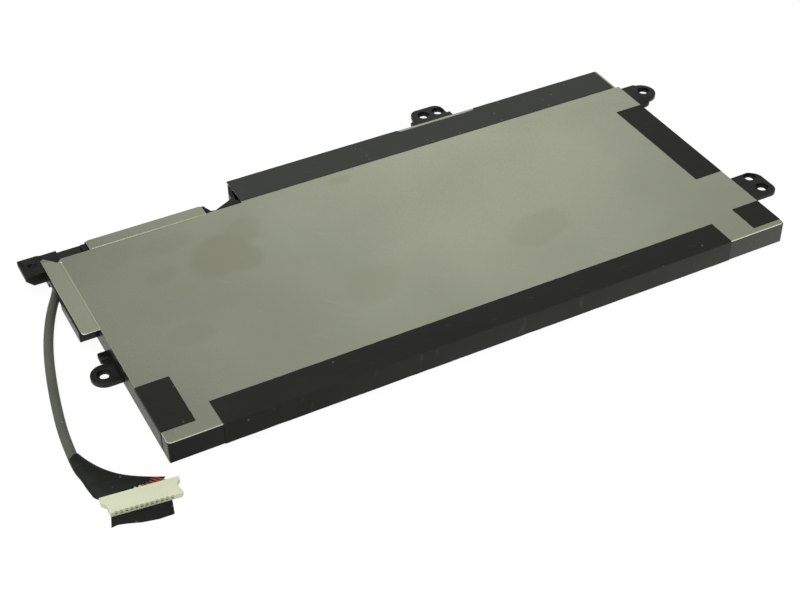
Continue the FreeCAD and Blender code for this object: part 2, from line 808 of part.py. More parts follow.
def board():
    front = "channel_front + board_gap"
    back = "band_inside - board_gap"
    plate("circuit_board", box_corners("board_start", "board_end", front, back),
          "board_top - board_thick", "board_thick")
    middle = "((channel_front + band_inside) / 2 + 0.45)"
    chip_row("power_switches", [("board_start + 26", middle), ("board_start + 33", middle)], "5", "4.6", "1")
    chip_row("gauge_chip", [("board_start + 52", middle)], "7", "5.4", "1.1")
    chip_row("sense_resistor", [("board_start + 43", middle)], "3.2", "6.2", "0.6")
    chip_row("fuse", [("board_start + 98", middle)], "6", "3.4", "1.2")
    places = [("board_start + %d" % (60 + 3 * k), middle + " + %d" % (2 - 2 * (k % 2))) for k in range(6)]
    chip_row("capacitors", places, "1.6", "0.8", "0.8")


def thermistor():
    """Bead on the middle cell's lip with a flat lead to the board."""
    body = new_body("thermistor_body")
    middle = cell_middle(1)
    lead = sketch_on(body, "top", "board_top + 0.1", "thermistor_lead")
    draw_box(lead, middle + " - 0.8", middle + " + 0.8", "cell_back + 0.6", "channel_front + 2.5")
    pad(body, lead, "0.2", "thermistor_lead_pad")
    bead = sketch_on(body, "top", "board_top + 0.1", "thermistor_bead")
    draw_box(bead, middle + " - 1.2", middle + " + 1.2", "cell_back + 0.4", "cell_back + 1.9")
    pad(body, bead, "1.1", "thermistor_bead_pad")
    return finish(body, "thermistor")


# Tapes on the outside.

def folded_tape(node, plane, away, profile, length):
    """Tape of one profile drawn across the edge that it wraps."""
    body = new_body(node + "_body")
    sketch = sketch_on(body, plane, away, node + "_profile")
    draw(sketch, profile)
    pad(body, sketch, length, node + "_pad")
    return finish(body, node)


def tapes():
    top = "(cover_top + tape)"
    folded_tape("tape_front", "side", "front_tape_start", [
        ("-tape", "film"),
        ("0", "film"),
        ("0", "cover_top"),
        ("front_tape_deep", "cover_top"),
        ("front_tape_deep", top),
        ("-tape", top),
    ], "front_tape_end - front_tape_start")
    folded_tape("tape_left_corner", "front", "-corner_tape_end", [
        ("-tape", "cover_top - tape_lap"),
        ("0", "cover_top - tape_lap"),
        ("0", "cover_top"),
        ("side_tape_wide", "cover_top"),
        ("side_tape_wide", top),
        ("-tape", top),
    ], "corner_tape_end - corner_tape_start")
    right_profile = [
        ("cover_length - side_tape_wide", "cover_top"),
        ("cover_length", "cover_top"),
        ("cover_length", "cover_top - tape_lap"),
        ("cover_length + tape", "cover_top - tape_lap"),
        ("cover_length + tape", top),
        ("cover_length - side_tape_wide", top),
    ]
    folded_tape("tape_right_short", "front", "-short_tape_end", right_profile,
                "short_tape_end - short_tape_start")
    folded_tape("tape_right_long", "front", "-long_tape_end", right_profile,
                "long_tape_end - long_tape_start")
    tape_end = "band_end - 0.8"
    notch_start = "back_lug_start - 4.6"
    notch_end = "back_lug_end + 6.5"
    plate("tape_back", [
        ("band_cover_start", "full_depth - back_tape_deep"),
        (tape_end, "full_depth - back_tape_deep"),
        (tape_end, "full_depth"),
        (notch_end, "full_depth"),
        (notch_end, "full_depth - tape_rim"),
        (notch_start, "full_depth - tape_rim"),
        (notch_start, "full_depth"),
        ("band_cover_start", "full_depth"),
    ], "cover_top", "tape")


# Cable: wires inside, sleeve, wrap, plug and the tape under it.

# Points that the sleeve follows, measured from the left fold and from the gate's back end.
SLEEVE_ROUTE = [(-2.0, 1.6), (-3.7, -3.2), (-8.2, -11.2), (-12.6, -22.0), (-15.6, -32.2), (-18.1, -43.2),
                (-20.2, -54.6), (-21.4, -63.8), (-21.75, -71.5)]


def sleeve_points():
    """Route of the sleeve's middle line in the battery's frame."""
    gate = FreeCAD.Vector(0, value("cable_gate_end"), value("sleeve_height"))
    return [gate + FreeCAD.Vector(x, y, 0) for x, y in SLEEVE_ROUTE]


def rounded_path(points):
    """Straight runs joined by tangent arcs, each as large as its two runs allow."""
    edges = []
    radii = []
    start = points[0]
    for before, corner, after in zip(points, points[1:], points[2:]):
        back = before - corner
        ahead = after - corner
        turn = math.pi - back.getAngle(ahead)
        trim = 0.45 * min(back.Length, ahead.Length)
        radii.append(trim / math.tan(turn / 2))
        enter = corner + back.normalize() * trim
        leave = corner + ahead.normalize() * trim
        inward = back + ahead
        middle = corner + inward.normalize() * (radii[-1] / math.cos(turn / 2) - radii[-1])
        edges.append(Part.LineSegment(start, enter).toShape())
        edges.append(Part.Arc(enter, middle, leave).toShape())
        start = leave
    edges.append(Part.LineSegment(start, points[-1]).toShape())
    return Part.Wire(edges), radii


def tube(points, radius):
    """Solid of round section along a rounded path."""
    path, radii = rounded_path(points)
    circle = Part.Circle(points[0], points[1] - points[0], radius)
    profile = Part.Wire([circle.toShape()])
    solid = path.makePipeShell([profile], True, True)
    return solid, path, radii


def shape_piece(node, shape):
    """Piece whose shape is worked out here."""
    piece = doc.addObject("Part::Feature", node + "_shape")
    piece.Shape = shape
    return finish(piece, node)


def cable_sleeve():
    solid, path, radii = tube(sleeve_points(), value("sleeve / 2"))
    section = math.pi * value("sleeve / 2") ** 2
    print("sleeve length %.1f mm" % path.Length, "volume ratio %.4f" % (solid.Volume / section / path.Length))
    print("sleeve radii", ["%.1f" % r for r in radii])
    shape_piece("cable_sleeve", solid)


# Place of each wire in the bundle's section: across, up, colour group.
BUNDLE = [
    (1, 1, "red"), (1, 0, "red"), (1, -1, "red"),
    (0, 1.5, "signal"), (0, 0.5, "signal"), (0, -0.5, "red"), (0, -1.5, "black"),
    (-1, 1, "black"), (-1, 0, "black"), (-1, -1, "black"),
]


def beside(points, aside):
    """Points of a line that runs beside another in its own level."""
    moved = []
    for k, point in enumerate(points):
        behind = (point - points[k - 1]).normalize() if k else None
        ahead = (points[k + 1] - point).normalize() if k + 1 < len(points) else behind
        behind = behind or ahead
        along = ahead + behind
        across = FreeCAD.Vector(-along.y, along.x, 0).normalize()
        stretch = 1 / math.sqrt((1 + ahead * behind) / 2)
        moved.append(point + across * aside * stretch)
    return moved


def polygon_ring(centre, onward, wide, high, sides):
    """Closed polygon inscribed in an ellipse that faces along a direction."""
    up = FreeCAD.Vector(0, 0, 1)
    across = onward.cross(up).normalize()
    angles = [2 * math.pi * k / sides for k in range(sides)]
    ring = [centre + across * wide * math.cos(a) + up * high * math.sin(a) for a in angles]
    return Part.makePolygon(ring + [ring[0]])


WIRE_SIDES = 6
MITRED = 1


def mitred_wire(points, radius):
    """Thin wire as a six-sided bar along straight runs, mitred where they meet."""
    profile = polygon_ring(points[0], points[1] - points[0], radius, radius, WIRE_SIDES)
    return Part.makePolygon(points).makePipeShell([profile], True, False, MITRED)


def inner_wires():
    """Insulated wires from the board's left end through the lead channel and the rail to the sleeve."""
    height = value("sleeve_height")
    pitch = value("wire_pitch")
    sleeve_start, sleeve_next = sleeve_points()[:2]
    onward = (sleeve_next - sleeve_start).normalize()
    lane = value("(channel_front + channel_inside) / 2 + 0.15")
    neck_lane = value("neck_y") - 2.75
    route = [
        (value("neck_x") + 6.2, neck_lane + 0.2),
        (value("neck_x") - 2.3, neck_lane),
        (value("neck_x") - 6.8, lane - 0.3),
        (-0.7, lane),
    ]
    bundle = [FreeCAD.Vector(x, y, height) for x, y in route] + [sleeve_start - onward * 2.2, sleeve_start]
    groups = {"red": [], "black": [], "signal": []}
    for number, (across, up, group) in enumerate(BUNDLE):
        line = [p + FreeCAD.Vector(0, 0, up * pitch) for p in beside(bundle, across * pitch)]
        pad_y = value("channel_front + board_gap + wire") + number * value("wire_pad_pitch")
        top = value("board_top + wire / 2")
        leave_x = value("board_start") - 0.6
        start = [FreeCAD.Vector(leave_x + 3.6, pad_y, top), FreeCAD.Vector(leave_x, pad_y, top)]
        groups[group].append(mitred_wire(start + line, value("wire / 2")))
    for group, solids in groups.items():
        shape_piece("inner_wires_" + group, Part.makeCompound(solids))


# Plug at the cable's far end, drawn in its own frame: x along it, y = 0 at its back edge.

def seat_plug_piece(piece, node):
    """Register a piece drawn in the plug's frame and turn it to where the plug lies."""
    finish(piece, node)
    piece.setExpression("Placement.Base.x", bound("plug_x - centre_x"))
    piece.setExpression("Placement.Base.y", bound("plug_y - centre_y"))
    piece.Placement.Rotation = FreeCAD.Rotation(FreeCAD.Vector(0, 0, 1), value("plug_turn"))
    return piece


def plug_point(along, across, height):
    """Point in the battery's frame of a place given in the plug's frame."""
    turn = FreeCAD.Rotation(FreeCAD.Vector(0, 0, 1), value("plug_turn"))
    corner = FreeCAD.Vector(value("plug_x"), value("plug_y"), 0)
    return corner + turn.multVec(FreeCAD.Vector(along, across, height))


CONTACTS = 12


def connector_housing():
    """Flat moulded housing with keyed ends and a row of contact rooms that open at its front edge."""
    body = new_body("connector_body")
    sketch = sketch_on(body, "top", "plug_low", "connector_outline")
    draw(sketch, [
        ("0", "0"),
        ("0", "-1.8"),
        ("0.3", "-2.2"),
        ("1.3", "-3.3"),
        ("1.5", "-plug_depth"),
        ("plug_length - 0.9", "-plug_depth"),
        ("plug_length - 0.3", "-plug_depth + 0.6"),
        ("plug_length - 1.1", "-2.9"),
        ("plug_length - 1", "-2.2"),
        ("plug_length", "-0.9"),
        ("plug_length", "0"),
    ])
    pad(body, sketch, "plug_top - plug_low", "connector_pad")
    row = "contact_gap * %d" % (CONTACTS - 1)
    low_x = "contact_first - contact_wide / 2"
    high_x = "contact_first + contact_wide / 2"
    notch = sketch_on(body, "top", "plug_top", "contact_notch")
    draw_box(notch, low_x, high_x, "-plug_depth - 1", "-plug_depth + contact_notch")
    notch_cut = pocket(body, notch, "contact_notch_deep", "contact_notch_cut")
    repeat_along(body, notch_cut, "X_Axis", row, CONTACTS, "contact_notches")
    room = sketch_on(body, "front", "plug_depth", "contact_room")
    room_floor = "plug_low + contact_floor"
    draw_box(room, low_x, high_x, room_floor, room_floor + " + contact_room_high")
    room_cut = pocket(body, room, "contact_room", "contact_room_cut")
    repeat_along(body, room_cut, "X_Axis", row, CONTACTS, "contact_rooms")
    seat_plug_piece(body, "connector_housing")


def connector_contacts():
    """Spring strips that lie on the floors of the housing's rooms."""
    strips = []
    for number in range(CONTACTS):
        strip = doc.addObject("Part::Box", "contact_%d" % number)
        low_x = "contact_first - contact_strip / 2 + contact_gap * %d" % number
        strip.setExpression("Length", bound("contact_strip"))
        strip.setExpression("Height", bound("contact_strip_thick"))
        strip.setExpression("Width", bound("contact_room - 0.25"))
        strip.setExpression("Placement.Base.x", bound(low_x))
        strip.setExpression("Placement.Base.y", bound("-plug_depth + 0.25"))
        strip.setExpression("Placement.Base.z", bound("plug_low + contact_floor"))
        strips.append(strip)
    group = doc.addObject("Part::Compound", "contacts_group")
    group.Links = strips
    seat_plug_piece(group, "connector_contacts")


def connector_leads():
    """Short bare stretch of each lead between the wrap and the housing."""
    groups = {"black": range(0, 5), "signal": range(5, 7), "red": range(7, 12)}
    for colour, numbers in groups.items():
        leads = []
        for number in numbers:
            lead = doc.addObject("Part::Prism", "lead_%d" % number)
            lead.Polygon = WIRE_SIDES
            lead.setExpression("Circumradius", bound("lead / 2"))
            lead.setExpression("Height", bound("wrap_gap"))
            lead.Placement.Rotation = FreeCAD.Rotation(FreeCAD.Vector(1, 0, 0), -90)
            lead.setExpression("Placement.Base.x", bound("contact_first + contact_gap * %d" % number))
            lead.setExpression("Placement.Base.z", bound("(plug_top + plug_low) / 2"))
            leads.append(lead)
        group = doc.addObject("Part::Compound", "leads_" + colour)
        group.Links = leads
        seat_plug_piece(group, "connector_leads_" + colour)


WRAP_SIDES = 10

# Middle rings of the wrap: place beside the sleeve's end, lean, half width, half height.
WRAP_RINGS = [
    (FreeCAD.Vector(0.85, -3.7, 0), 0.25, 2.4, 1.4),
    (FreeCAD.Vector(3.15, -8.3, -0.1), 0.4, 4.1, 1.3),
    (FreeCAD.Vector(7.15, -12.3, -0.35), 0.22, 7.0, 1.0),
]


def cable_wrap():
    """Black tape wrapped round the fan of leads, from the sleeve's end to the plug."""
    before, end = sleeve_points()[-2:]
    plug_level = value("(plug_top + plug_low) / 2")
    front = plug_point(value("plug_length") * 0.5, value("wrap_gap"), plug_level)
    facing = FreeCAD.Rotation(FreeCAD.Vector(0, 0, 1), value("plug_turn")).multVec(FreeCAD.Vector(0, -1, 0))
    sections = [(end, end - before, value("sleeve / 2"), value("sleeve / 2"))]
    for place, lean, wide, high in WRAP_RINGS:
        sections.append((end + place, FreeCAD.Vector(lean, -1, 0), wide, high))
    sections.append((front, facing, value("plug_length * 0.45"), value("(plug_top - plug_low) / 2 - 0.03")))
    rings = [polygon_ring(centre, normal, wide, high, WRAP_SIDES) for centre, normal, wide, high in sections]
    shape_piece("cable_wrap", Part.makeLoft(rings, True, True))


# Outline of the tape under the plug: right of the plug's back left corner, and in front of it.
TAIL_EDGE = [(0.96, 2.49), (0.86, 6.19), (-0.24, 9.49), (1.56, 9.39), (3.86, 10.09), (7.06, 11.39),
             (11.26, 12.39), (15.26, 12.59), (16.36, 8.49), (16.56, 3.89)]


def connector_tail_tape():
    """Tape under the plug that stands out in front of it."""
    edge = [("plug_x + %s" % x, "plug_y - %s" % y) for x, y in TAIL_EDGE]
    plate("connector_tail_tape", edge, "0", "plug_low")


metal_cover()
frame()
bottom_film()
cells()
board()
thermistor()
tapes()
cable_sleeve()
inner_wires()
cable_wrap()
connector_housing()
connector_contacts()
connector_leads()
connector_tail_tape()
doc.recompute()

for item in doc.Objects:
    if "Invalid" in item.State or "Error" in item.State:
        raise ValueError(item.Label + " failed: " + str(item.State))
for node, piece in NODES.items():
    if piece.Shape.isNull() or not piece.Shape.isValid():
        raise ValueError(node + " has no valid shape")

os.makedirs("parts", exist_ok=True)
for node, piece in NODES.items():
    piece.Shape.exportStep("parts/" + node + ".step")
    print(node, len(piece.Shape.Solids), "solid(s)", "%.1f mm3" % piece.Shape.Volume)
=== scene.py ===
import math

import bmesh
import bpy
from mathutils import Matrix, Vector, noise


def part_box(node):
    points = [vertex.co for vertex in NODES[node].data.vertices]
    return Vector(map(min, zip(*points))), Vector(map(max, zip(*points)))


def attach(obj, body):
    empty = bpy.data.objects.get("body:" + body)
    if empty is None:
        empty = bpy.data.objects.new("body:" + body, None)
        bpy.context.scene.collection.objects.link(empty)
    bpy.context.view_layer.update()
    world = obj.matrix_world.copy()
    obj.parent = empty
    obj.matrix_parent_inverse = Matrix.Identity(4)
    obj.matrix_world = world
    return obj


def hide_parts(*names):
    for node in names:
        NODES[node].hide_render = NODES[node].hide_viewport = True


bl_info = {
    "name": "Laptop Battery",
    "version": (1, 0, 0),
    "blender": (4, 5, 0),
    "location": "View3D > Sidebar > Battery",
    "description": "Finishes a flat laptop battery: cover, frame, tapes, sleeved cable and plug",
    "category": "Object",
}

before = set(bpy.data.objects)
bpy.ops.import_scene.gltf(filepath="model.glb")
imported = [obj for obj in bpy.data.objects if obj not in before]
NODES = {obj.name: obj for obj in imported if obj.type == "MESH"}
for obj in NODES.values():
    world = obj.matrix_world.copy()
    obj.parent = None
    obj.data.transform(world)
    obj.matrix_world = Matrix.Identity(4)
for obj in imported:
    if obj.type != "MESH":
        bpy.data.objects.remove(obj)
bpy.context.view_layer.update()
BODY = "root"
COVER_LOW, COVER_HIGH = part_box("metal_cover")
COVER_LENGTH = 0.198
COVER_TOP = COVER_HIGH.z
FOLD_X = COVER_HIGH.x - COVER_LENGTH
FRONT_Y = COVER_LOW.y
TAPE_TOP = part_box("tape_front")[1].z
FILM_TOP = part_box("bottom_film")[1].z


def at(x, y, z=0.0):
    """Point measured in metres from the cover's left fold, its front edge and the table."""
    return Vector((FOLD_X + x, FRONT_Y + y, z))


def paint(red, green, blue):
    """Colour as it shows on a screen, 0 to 255, turned into the linear values that a shader reads."""
    shares = [level / 255 for level in (red, green, blue)]
    return tuple(s / 12.92 if s <= 0.04045 else ((s + 0.055) / 1.055) ** 2.4 for s in shares)


# Sizes and colours that a user would change.

def length_setting(name, text, default):
    return bpy.props.FloatProperty(name=name, description=text, default=default, min=0.0, unit="LENGTH",
                                   precision=5)


def share_setting(name, text, default):
    return bpy.props.FloatProperty(name=name, description=text, default=default, min=0.0, max=1.0,
                                   subtype="FACTOR")


def colour_setting(name, text, default):
    return bpy.props.FloatVectorProperty(name=name, description=text, default=default, min=0.0, max=1.0,
                                         size=3, subtype="COLOR")


class CoverLook(bpy.types.PropertyGroup):
    """Finish of the thin metal cover."""
    metal: colour_setting("Metal", "Colour of the satin sheet", paint(191, 194, 180))
    smudge: colour_setting("Smudge", "Colour of the finger marks", paint(180, 182, 162))
    rim: length_setting("Rim", "Width of the rounded edge of the sheet", 0.00012)
    # Painted highlight: colour of the bright lines painted along the rims and folds.
    painted_rim_highlight: colour_setting("Painted rim highlight", "Colour of the highlight painted on the bent edges", paint(250, 252, 232))
    roughness: share_setting("Roughness", "Roughness of the satin sheet", 0.3)
    waviness: share_setting("Waviness", "Strength of the sheet's slow waves", 0.25)


class FrameLook(bpy.types.PropertyGroup):
    """Finish of the moulded frame."""
    plastic: colour_setting("Plastic", "Colour of the moulded plastic", paint(22, 24, 21))
    edge: length_setting("Edge", "Radius of the moulded edges", 0.00014)
    roughness: share_setting("Roughness", "Roughness of the moulded plastic", 0.34)


class TapeLook(bpy.types.PropertyGroup):
    """Finish of the black and grey tapes."""
    black: colour_setting("Black tape", "Colour of the front and side tapes", paint(31, 32, 27))
    grey: colour_setting("Grey tape", "Colour of the back tape", paint(58, 60, 56))
    bend: length_setting("Bend", "Radius of the tape's bend over an edge", 0.00045)
    wobble: length_setting("Wobble", "How far a cut edge strays", 0.00012)
    roughness: share_setting("Roughness", "Roughness of the tape's face", 0.5)


class CableLook(bpy.types.PropertyGroup):
    """Sizes and colours of the sleeved cable and its plug."""
    sleeve: length_setting("Sleeve", "Outer diameter of the braided sleeve", 0.0028)
    threads: bpy.props.IntProperty(name="Threads", description="Threads of the braid that turn each way",
                                   default=10, min=4, max=40)
    thread: length_setting("Thread", "Width of one thread of the braid", 0.00056)
    weave: length_setting("Weave", "Thickness of one thread of the braid", 0.00009)
    turn: length_setting("Turn", "Length of sleeve in which a thread goes round once", 0.0085)
    braid: colour_setting("Braid", "Colour of the braid", paint(94, 97, 84))
    wrap: colour_setting("Wrap", "Colour of the wrapping tape", paint(18, 22, 17))
    housing: colour_setting("Housing", "Colour of the plug's housing", paint(226, 230, 200))
    red: colour_setting("Red lead", "Colour of the red insulation", paint(150, 50, 38))
    yellow: colour_setting("Light lead", "Colour of the light insulation", paint(205, 200, 130))


class StageLook(bpy.types.PropertyGroup):
    """Light and camera."""
    sky: bpy.props.FloatProperty(name="Sky", description="Strength of the even light", default=0.62, min=0.0)
    key: bpy.props.FloatProperty(name="Key", description="Power of the large lamp", default=4.0, min=0.0,
                                 unit="POWER")
    lens: bpy.props.FloatProperty(name="Lens", description="Focal length in millimetres", default=69.26,
                                  min=1.0)


# Mesh helpers.

def piece_of(name, mesh, material, slot, *replaced):
    """New object of a mesh that rides on the battery and stands for the named nodes."""
    thing = bpy.data.objects.new(name, mesh)
    bpy.context.scene.collection.objects.link(thing)
    thing.data.materials.clear()
    thing.data.materials.append(material)
    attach(thing, BODY)
    if replaced:
        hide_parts(*replaced)
    return thing


def mesh_from(name, points, faces):
    """Smooth mesh of points and faces with its faces turned outwards."""
    mesh = bpy.data.meshes.new(name)
    mesh.from_pydata([tuple(p) for p in points], [], faces)
    shape = bmesh.new()
    shape.from_mesh(mesh)
    bmesh.ops.recalc_face_normals(shape, faces=shape.faces)
    shape.to_mesh(mesh)
    shape.free()
    mesh.shade_smooth()
    return mesh


def lofted(name, loops, smooth):
    """Closed skin over a row of loops with as many points each, with flat ends; sharp past an angle."""
    count = len(loops[0])
    points = [point for loop in loops for point in loop]
    faces = []
    for row in range(len(loops) - 1):
        here, ahead = row * count, (row + 1) * count
        for k in range(count):
            beside = (k + 1) % count
            faces.append((here + k, here + beside, ahead + beside, ahead + k))
    faces.append(tuple(range(count)))
    faces.append(tuple(range((len(loops) - 1) * count, len(loops) * count)))
    mesh = mesh_from(name, points, faces)
    mesh.set_sharp_from_angle(angle=smooth)
    return mesh


FLAT_ANGLE = math.radians(1.0)
MERGE = 0.000002
SHARP_ANGLE = math.radians(35)
SMOOTH_ANGLE = math.radians(25)
FOLD_ANGLE = math.radians(5)
ROUND_ANGLE = math.radians(50)
WALL_REACH = 0.00001
BEVEL_STEPS = 2


def clean_copy(node, name):
    """Merged copy of a node's mesh with its flat faces joined."""
    mesh = NODES[node].data.copy()
    mesh.name = name
    shape = bmesh.new()
    shape.from_mesh(mesh)
    bmesh.ops.remove_doubles(shape, verts=shape.verts, dist=MERGE)
    bmesh.ops.dissolve_limit(shape, angle_limit=FLAT_ANGLE, verts=shape.verts, edges=shape.edges)
    shape.to_mesh(mesh)
    shape.free()
    return mesh


def rounded(mesh, width, smooth=SMOOTH_ANGLE, plain_x=None):
    """Mesh with its sharp edges rounded, so that they catch the light; its flat faces stay flat.

    The edges of the wall that lies at plain_x stay sharp."""
    shape = bmesh.new()
    shape.from_mesh(mesh)
    weight = shape.edges.layers.float.new("bevel_weight_edge")
    for edge in shape.edges:
        plain = plain_x is not None and all(abs(end.co.x - plain_x) < WALL_REACH for end in edge.verts)
        if len(edge.link_faces) == 2 and edge.calc_face_angle(0.0) > SHARP_ANGLE and not plain:
            edge[weight] = 1.0
    shape.to_mesh(mesh)
    shape.free()
    holder = bpy.data.objects.new("rounding", mesh)
    bpy.context.scene.collection.objects.link(holder)
    bevel = holder.modifiers.new("Rounded edges", "BEVEL")
    bevel.width = width
    bevel.segments = BEVEL_STEPS
    bevel.limit_method = "WEIGHT"
    bevel.use_clamp_overlap = False
    return baked(holder, mesh.name, smooth)


def baked(holder, name, smooth):
    """Plain mesh of what an object's modifiers make; the object is removed."""
    bpy.context.view_layer.update()
    finished = holder.evaluated_get(bpy.context.evaluated_depsgraph_get())
    final = bpy.data.meshes.new_from_object(finished)
    bpy.data.objects.remove(holder)
    final.name = name
    final.shade_smooth()
    final.set_sharp_from_angle(angle=smooth)
    return final


def stray(place, reach, fineness):
    """Slow random offset for a cut edge, the same each run."""
    return reach * noise.noise(place * fineness)


# Node helpers.

def feed(tree, target, what):
    """Link a socket to an input, or set the input's own value; a colour may leave out its alpha."""
    if isinstance(what, bpy.types.NodeSocket):
        tree.links.new(what, target)
    elif target.type == "RGBA" and len(what) == 3:
        target.default_value = (*what, 1.0)
    else:
        target.default_value = what


def node_of(tree, kind, **inputs):
    """New node with its inputs set or linked by name."""
    node = tree.nodes.new(kind)
    for name, what in inputs.items():
        feed(tree, node.inputs[name.replace("_", " ")], what)
    return node


def math_of(tree, operation, *terms):
    """Math node over one or two sockets or numbers."""
    node = tree.nodes.new("ShaderNodeMath")
    node.operation = operation
    for target, what in zip(node.inputs, terms):
        feed(tree, target, what)
    return node.outputs["Value"]


def vector_of(tree, operation, *terms):
    """Vector math node over sockets or vectors."""
    node = tree.nodes.new("ShaderNodeVectorMath")
    node.operation = operation
    for target, what in zip(node.inputs, terms):
        feed(tree, target, what)
    return node.outputs["Vector"]


def scaled(tree, vector, factor):
    """Vector times a value."""
    node = tree.nodes.new("ShaderNodeVectorMath")
    node.operation = "SCALE"
    feed(tree, node.inputs[0], vector)
    feed(tree, node.inputs["Scale"], factor)
    return node.outputs["Vector"]


def blend_colours(tree, share, first, second):
    """Mix of two colours by a mask."""
    node = tree.nodes.new("ShaderNodeMix")
    node.data_type = "RGBA"
    for target, what in ((node.inputs["Factor"], share), (node.inputs[6], first), (node.inputs[7], second)):
        feed(tree, target, what)
    return node.outputs[2]


def mix_numbers(tree, share, first, second):
    """Mix of two values by a mask."""
    return node_of(tree, "ShaderNodeMix", Factor=share, A=first, B=second).outputs["Result"]


def stretch(tree, what, low, high, to_low, to_high):
    """Range of a value carried over to another range."""
    return node_of(tree, "ShaderNodeMapRange", Value=what, From_Min=low, From_Max=high, To_Min=to_low,
                   To_Max=to_high).outputs["Result"]


def object_place(tree):
    """Place on the piece that the other nodes read."""
    return tree.nodes.new("ShaderNodeTexCoord").outputs["Object"]


# Material helpers.

def shader(name, **settings):
    """New material with a Principled shader; the settings go to the shader's own sockets."""
    material = bpy.data.materials.new(name)
    material.use_nodes = True
    surface = material.node_tree.nodes["Principled BSDF"]
    for socket, setting in settings.items():
        surface.inputs[socket.replace("_", " ")].default_value = setting
    return material, material.node_tree, surface


def relief(tree, surface, height, strength, distance):
    """Bump that carries a height to the shader's normal."""
    bump = node_of(tree, "ShaderNodeBump", Strength=strength, Distance=distance, Height=height)
    tree.links.new(bump.outputs["Normal"], surface.inputs["Normal"])


def new_group(name, sockets_in, sockets_out):
    """Empty shader group with named sockets; returns it with its input and output nodes."""
    group = bpy.data.node_groups.new(name, "ShaderNodeTree")
    for label, kind, default in sockets_in:
        socket = group.interface.new_socket(label, in_out="INPUT", socket_type=kind)
        socket.default_value = default
    for label, kind in sockets_out:
        group.interface.new_socket(label, in_out="OUTPUT", socket_type=kind)
    return group, group.nodes.new("NodeGroupInput"), group.nodes.new("NodeGroupOutput")


def grain_group():
    """Fine uneven grain of moulded, painted and taped faces, with slow patches over it."""
    group, given, result = new_group("Fine grain", [
        ("Scale", "NodeSocketFloat", 900.0),
        ("Patch scale", "NodeSocketFloat", 60.0),
    ], [("Grain", "NodeSocketFloat"), ("Patches", "NodeSocketFloat")])
    place = object_place(group)
    grain = node_of(group, "ShaderNodeTexNoise", Vector=place, Scale=given.outputs["Scale"], Detail=3.0)
    patches = node_of(group, "ShaderNodeTexNoise", Vector=place, Scale=given.outputs["Patch scale"],
                      Detail=2.0)
    group.links.new(grain.outputs["Fac"], result.inputs["Grain"])
    group.links.new(patches.outputs["Fac"], result.inputs["Patches"])
    return group


def dust_group():
    """Small scattered specks: one mask for how much of the face they cover."""
    group, given, result = new_group("Dust specks", [
        ("Scale", "NodeSocketFloat", 900.0),
        ("Amount", "NodeSocketFloat", 0.05),
    ], [("Specks", "NodeSocketFloat")])
    place = object_place(group)
    cells = node_of(group, "ShaderNodeTexVoronoi", Vector=place, Scale=given.outputs["Scale"])
    chance = node_of(group, "ShaderNodeSeparateColor", Color=cells.outputs["Color"])
    few = math_of(group, "LESS_THAN", chance.outputs["Red"], given.outputs["Amount"])
    small = stretch(group, cells.outputs["Distance"], 0.12, 0.3, 1.0, 0.0)
    group.links.new(math_of(group, "MULTIPLY", few, small), result.inputs["Specks"])
    return group


def scuff_group():
    """Short fine scratches in one main direction, as thin lines of a stretched noise."""
    group, given, result = new_group("Scuffs", [
        ("Scale", "NodeSocketFloat", 120.0),
        ("Turn", "NodeSocketFloat", 0.4),
        ("Stretch", "NodeSocketFloat", 12.0),
    ], [("Lines", "NodeSocketFloat")])
    place = object_place(group)
    turned = node_of(group, "ShaderNodeVectorRotate", Vector=place, Angle=given.outputs["Turn"])
    turned.rotation_type = "Z_AXIS"
    parts = node_of(group, "ShaderNodeSeparateXYZ", Vector=turned.outputs["Vector"])
    wide = math_of(group, "MULTIPLY", parts.outputs["Y"], given.outputs["Stretch"])
    along = node_of(group, "ShaderNodeCombineXYZ", X=parts.outputs["X"], Y=wide, Z=parts.outputs["Z"])
    lines = node_of(group, "ShaderNodeTexNoise", Vector=along.outputs["Vector"], Scale=given.outputs["Scale"],
                    Detail=2.0)
    thin = stretch(group, lines.outputs["Fac"], 0.66, 0.72, 0.0, 1.0)
    group.links.new(thin, result.inputs["Lines"])
    return group


GROUPS = {}


def placed(tree, name, **inputs):
    """Shared group placed in a material, made on its first use."""
    makers = {"grain": grain_group, "dust": dust_group, "scuffs": scuff_group}
    if name not in GROUPS:
        GROUPS[name] = makers[name]()
    node = tree.nodes.new("ShaderNodeGroup")
    node.node_tree = GROUPS[name]
    for label, what in inputs.items():
        node.inputs[label.replace("_", " ")].default_value = what
    return node


DUST = (0.3, 0.3, 0.27)
ROUGH_SPREAD = 0.07
GRAIN_DEEP = 0.00005


def grained(name, colour, roughness, contrast=0.25, scale=900.0, bump=0.15, dust=0.0, **settings):
    """Plain material with fine grain in colour, roughness and relief, and some dust."""
    material, tree, surface = shader(name, **settings)
    grain = placed(tree, "grain", Scale=scale)
    darker = tuple(level * (1 - contrast) for level in colour)
    lighter = tuple(min(1.0, level * (1 + contrast)) for level in colour)
    tone = blend_colours(tree, grain.outputs["Patches"], darker, lighter)
    rough = stretch(tree, grain.outputs["Grain"], 0.3, 0.7, roughness - ROUGH_SPREAD,
                    roughness + ROUGH_SPREAD)
    if dust:
        specks = placed(tree, "dust", Amount=dust)
        tone = blend_colours(tree, specks.outputs["Specks"], tone, DUST)
    tree.links.new(tone, surface.inputs["Base Color"])
    tree.links.new(rough, surface.inputs["Roughness"])
    relief(tree, surface, grain.outputs["Grain"], bump, GRAIN_DEEP)
    return material


# Camera, light and floor.

CAMERA_PLACE = (-0.07679, -0.27539, 0.28496)
CAMERA_RIGHT = Vector((0.88316966, -0.46899415, -0.00747224))
CAMERA_AHEAD = Vector((0.35751004, 0.68337402, -0.63654263))
SENSOR = 36.0


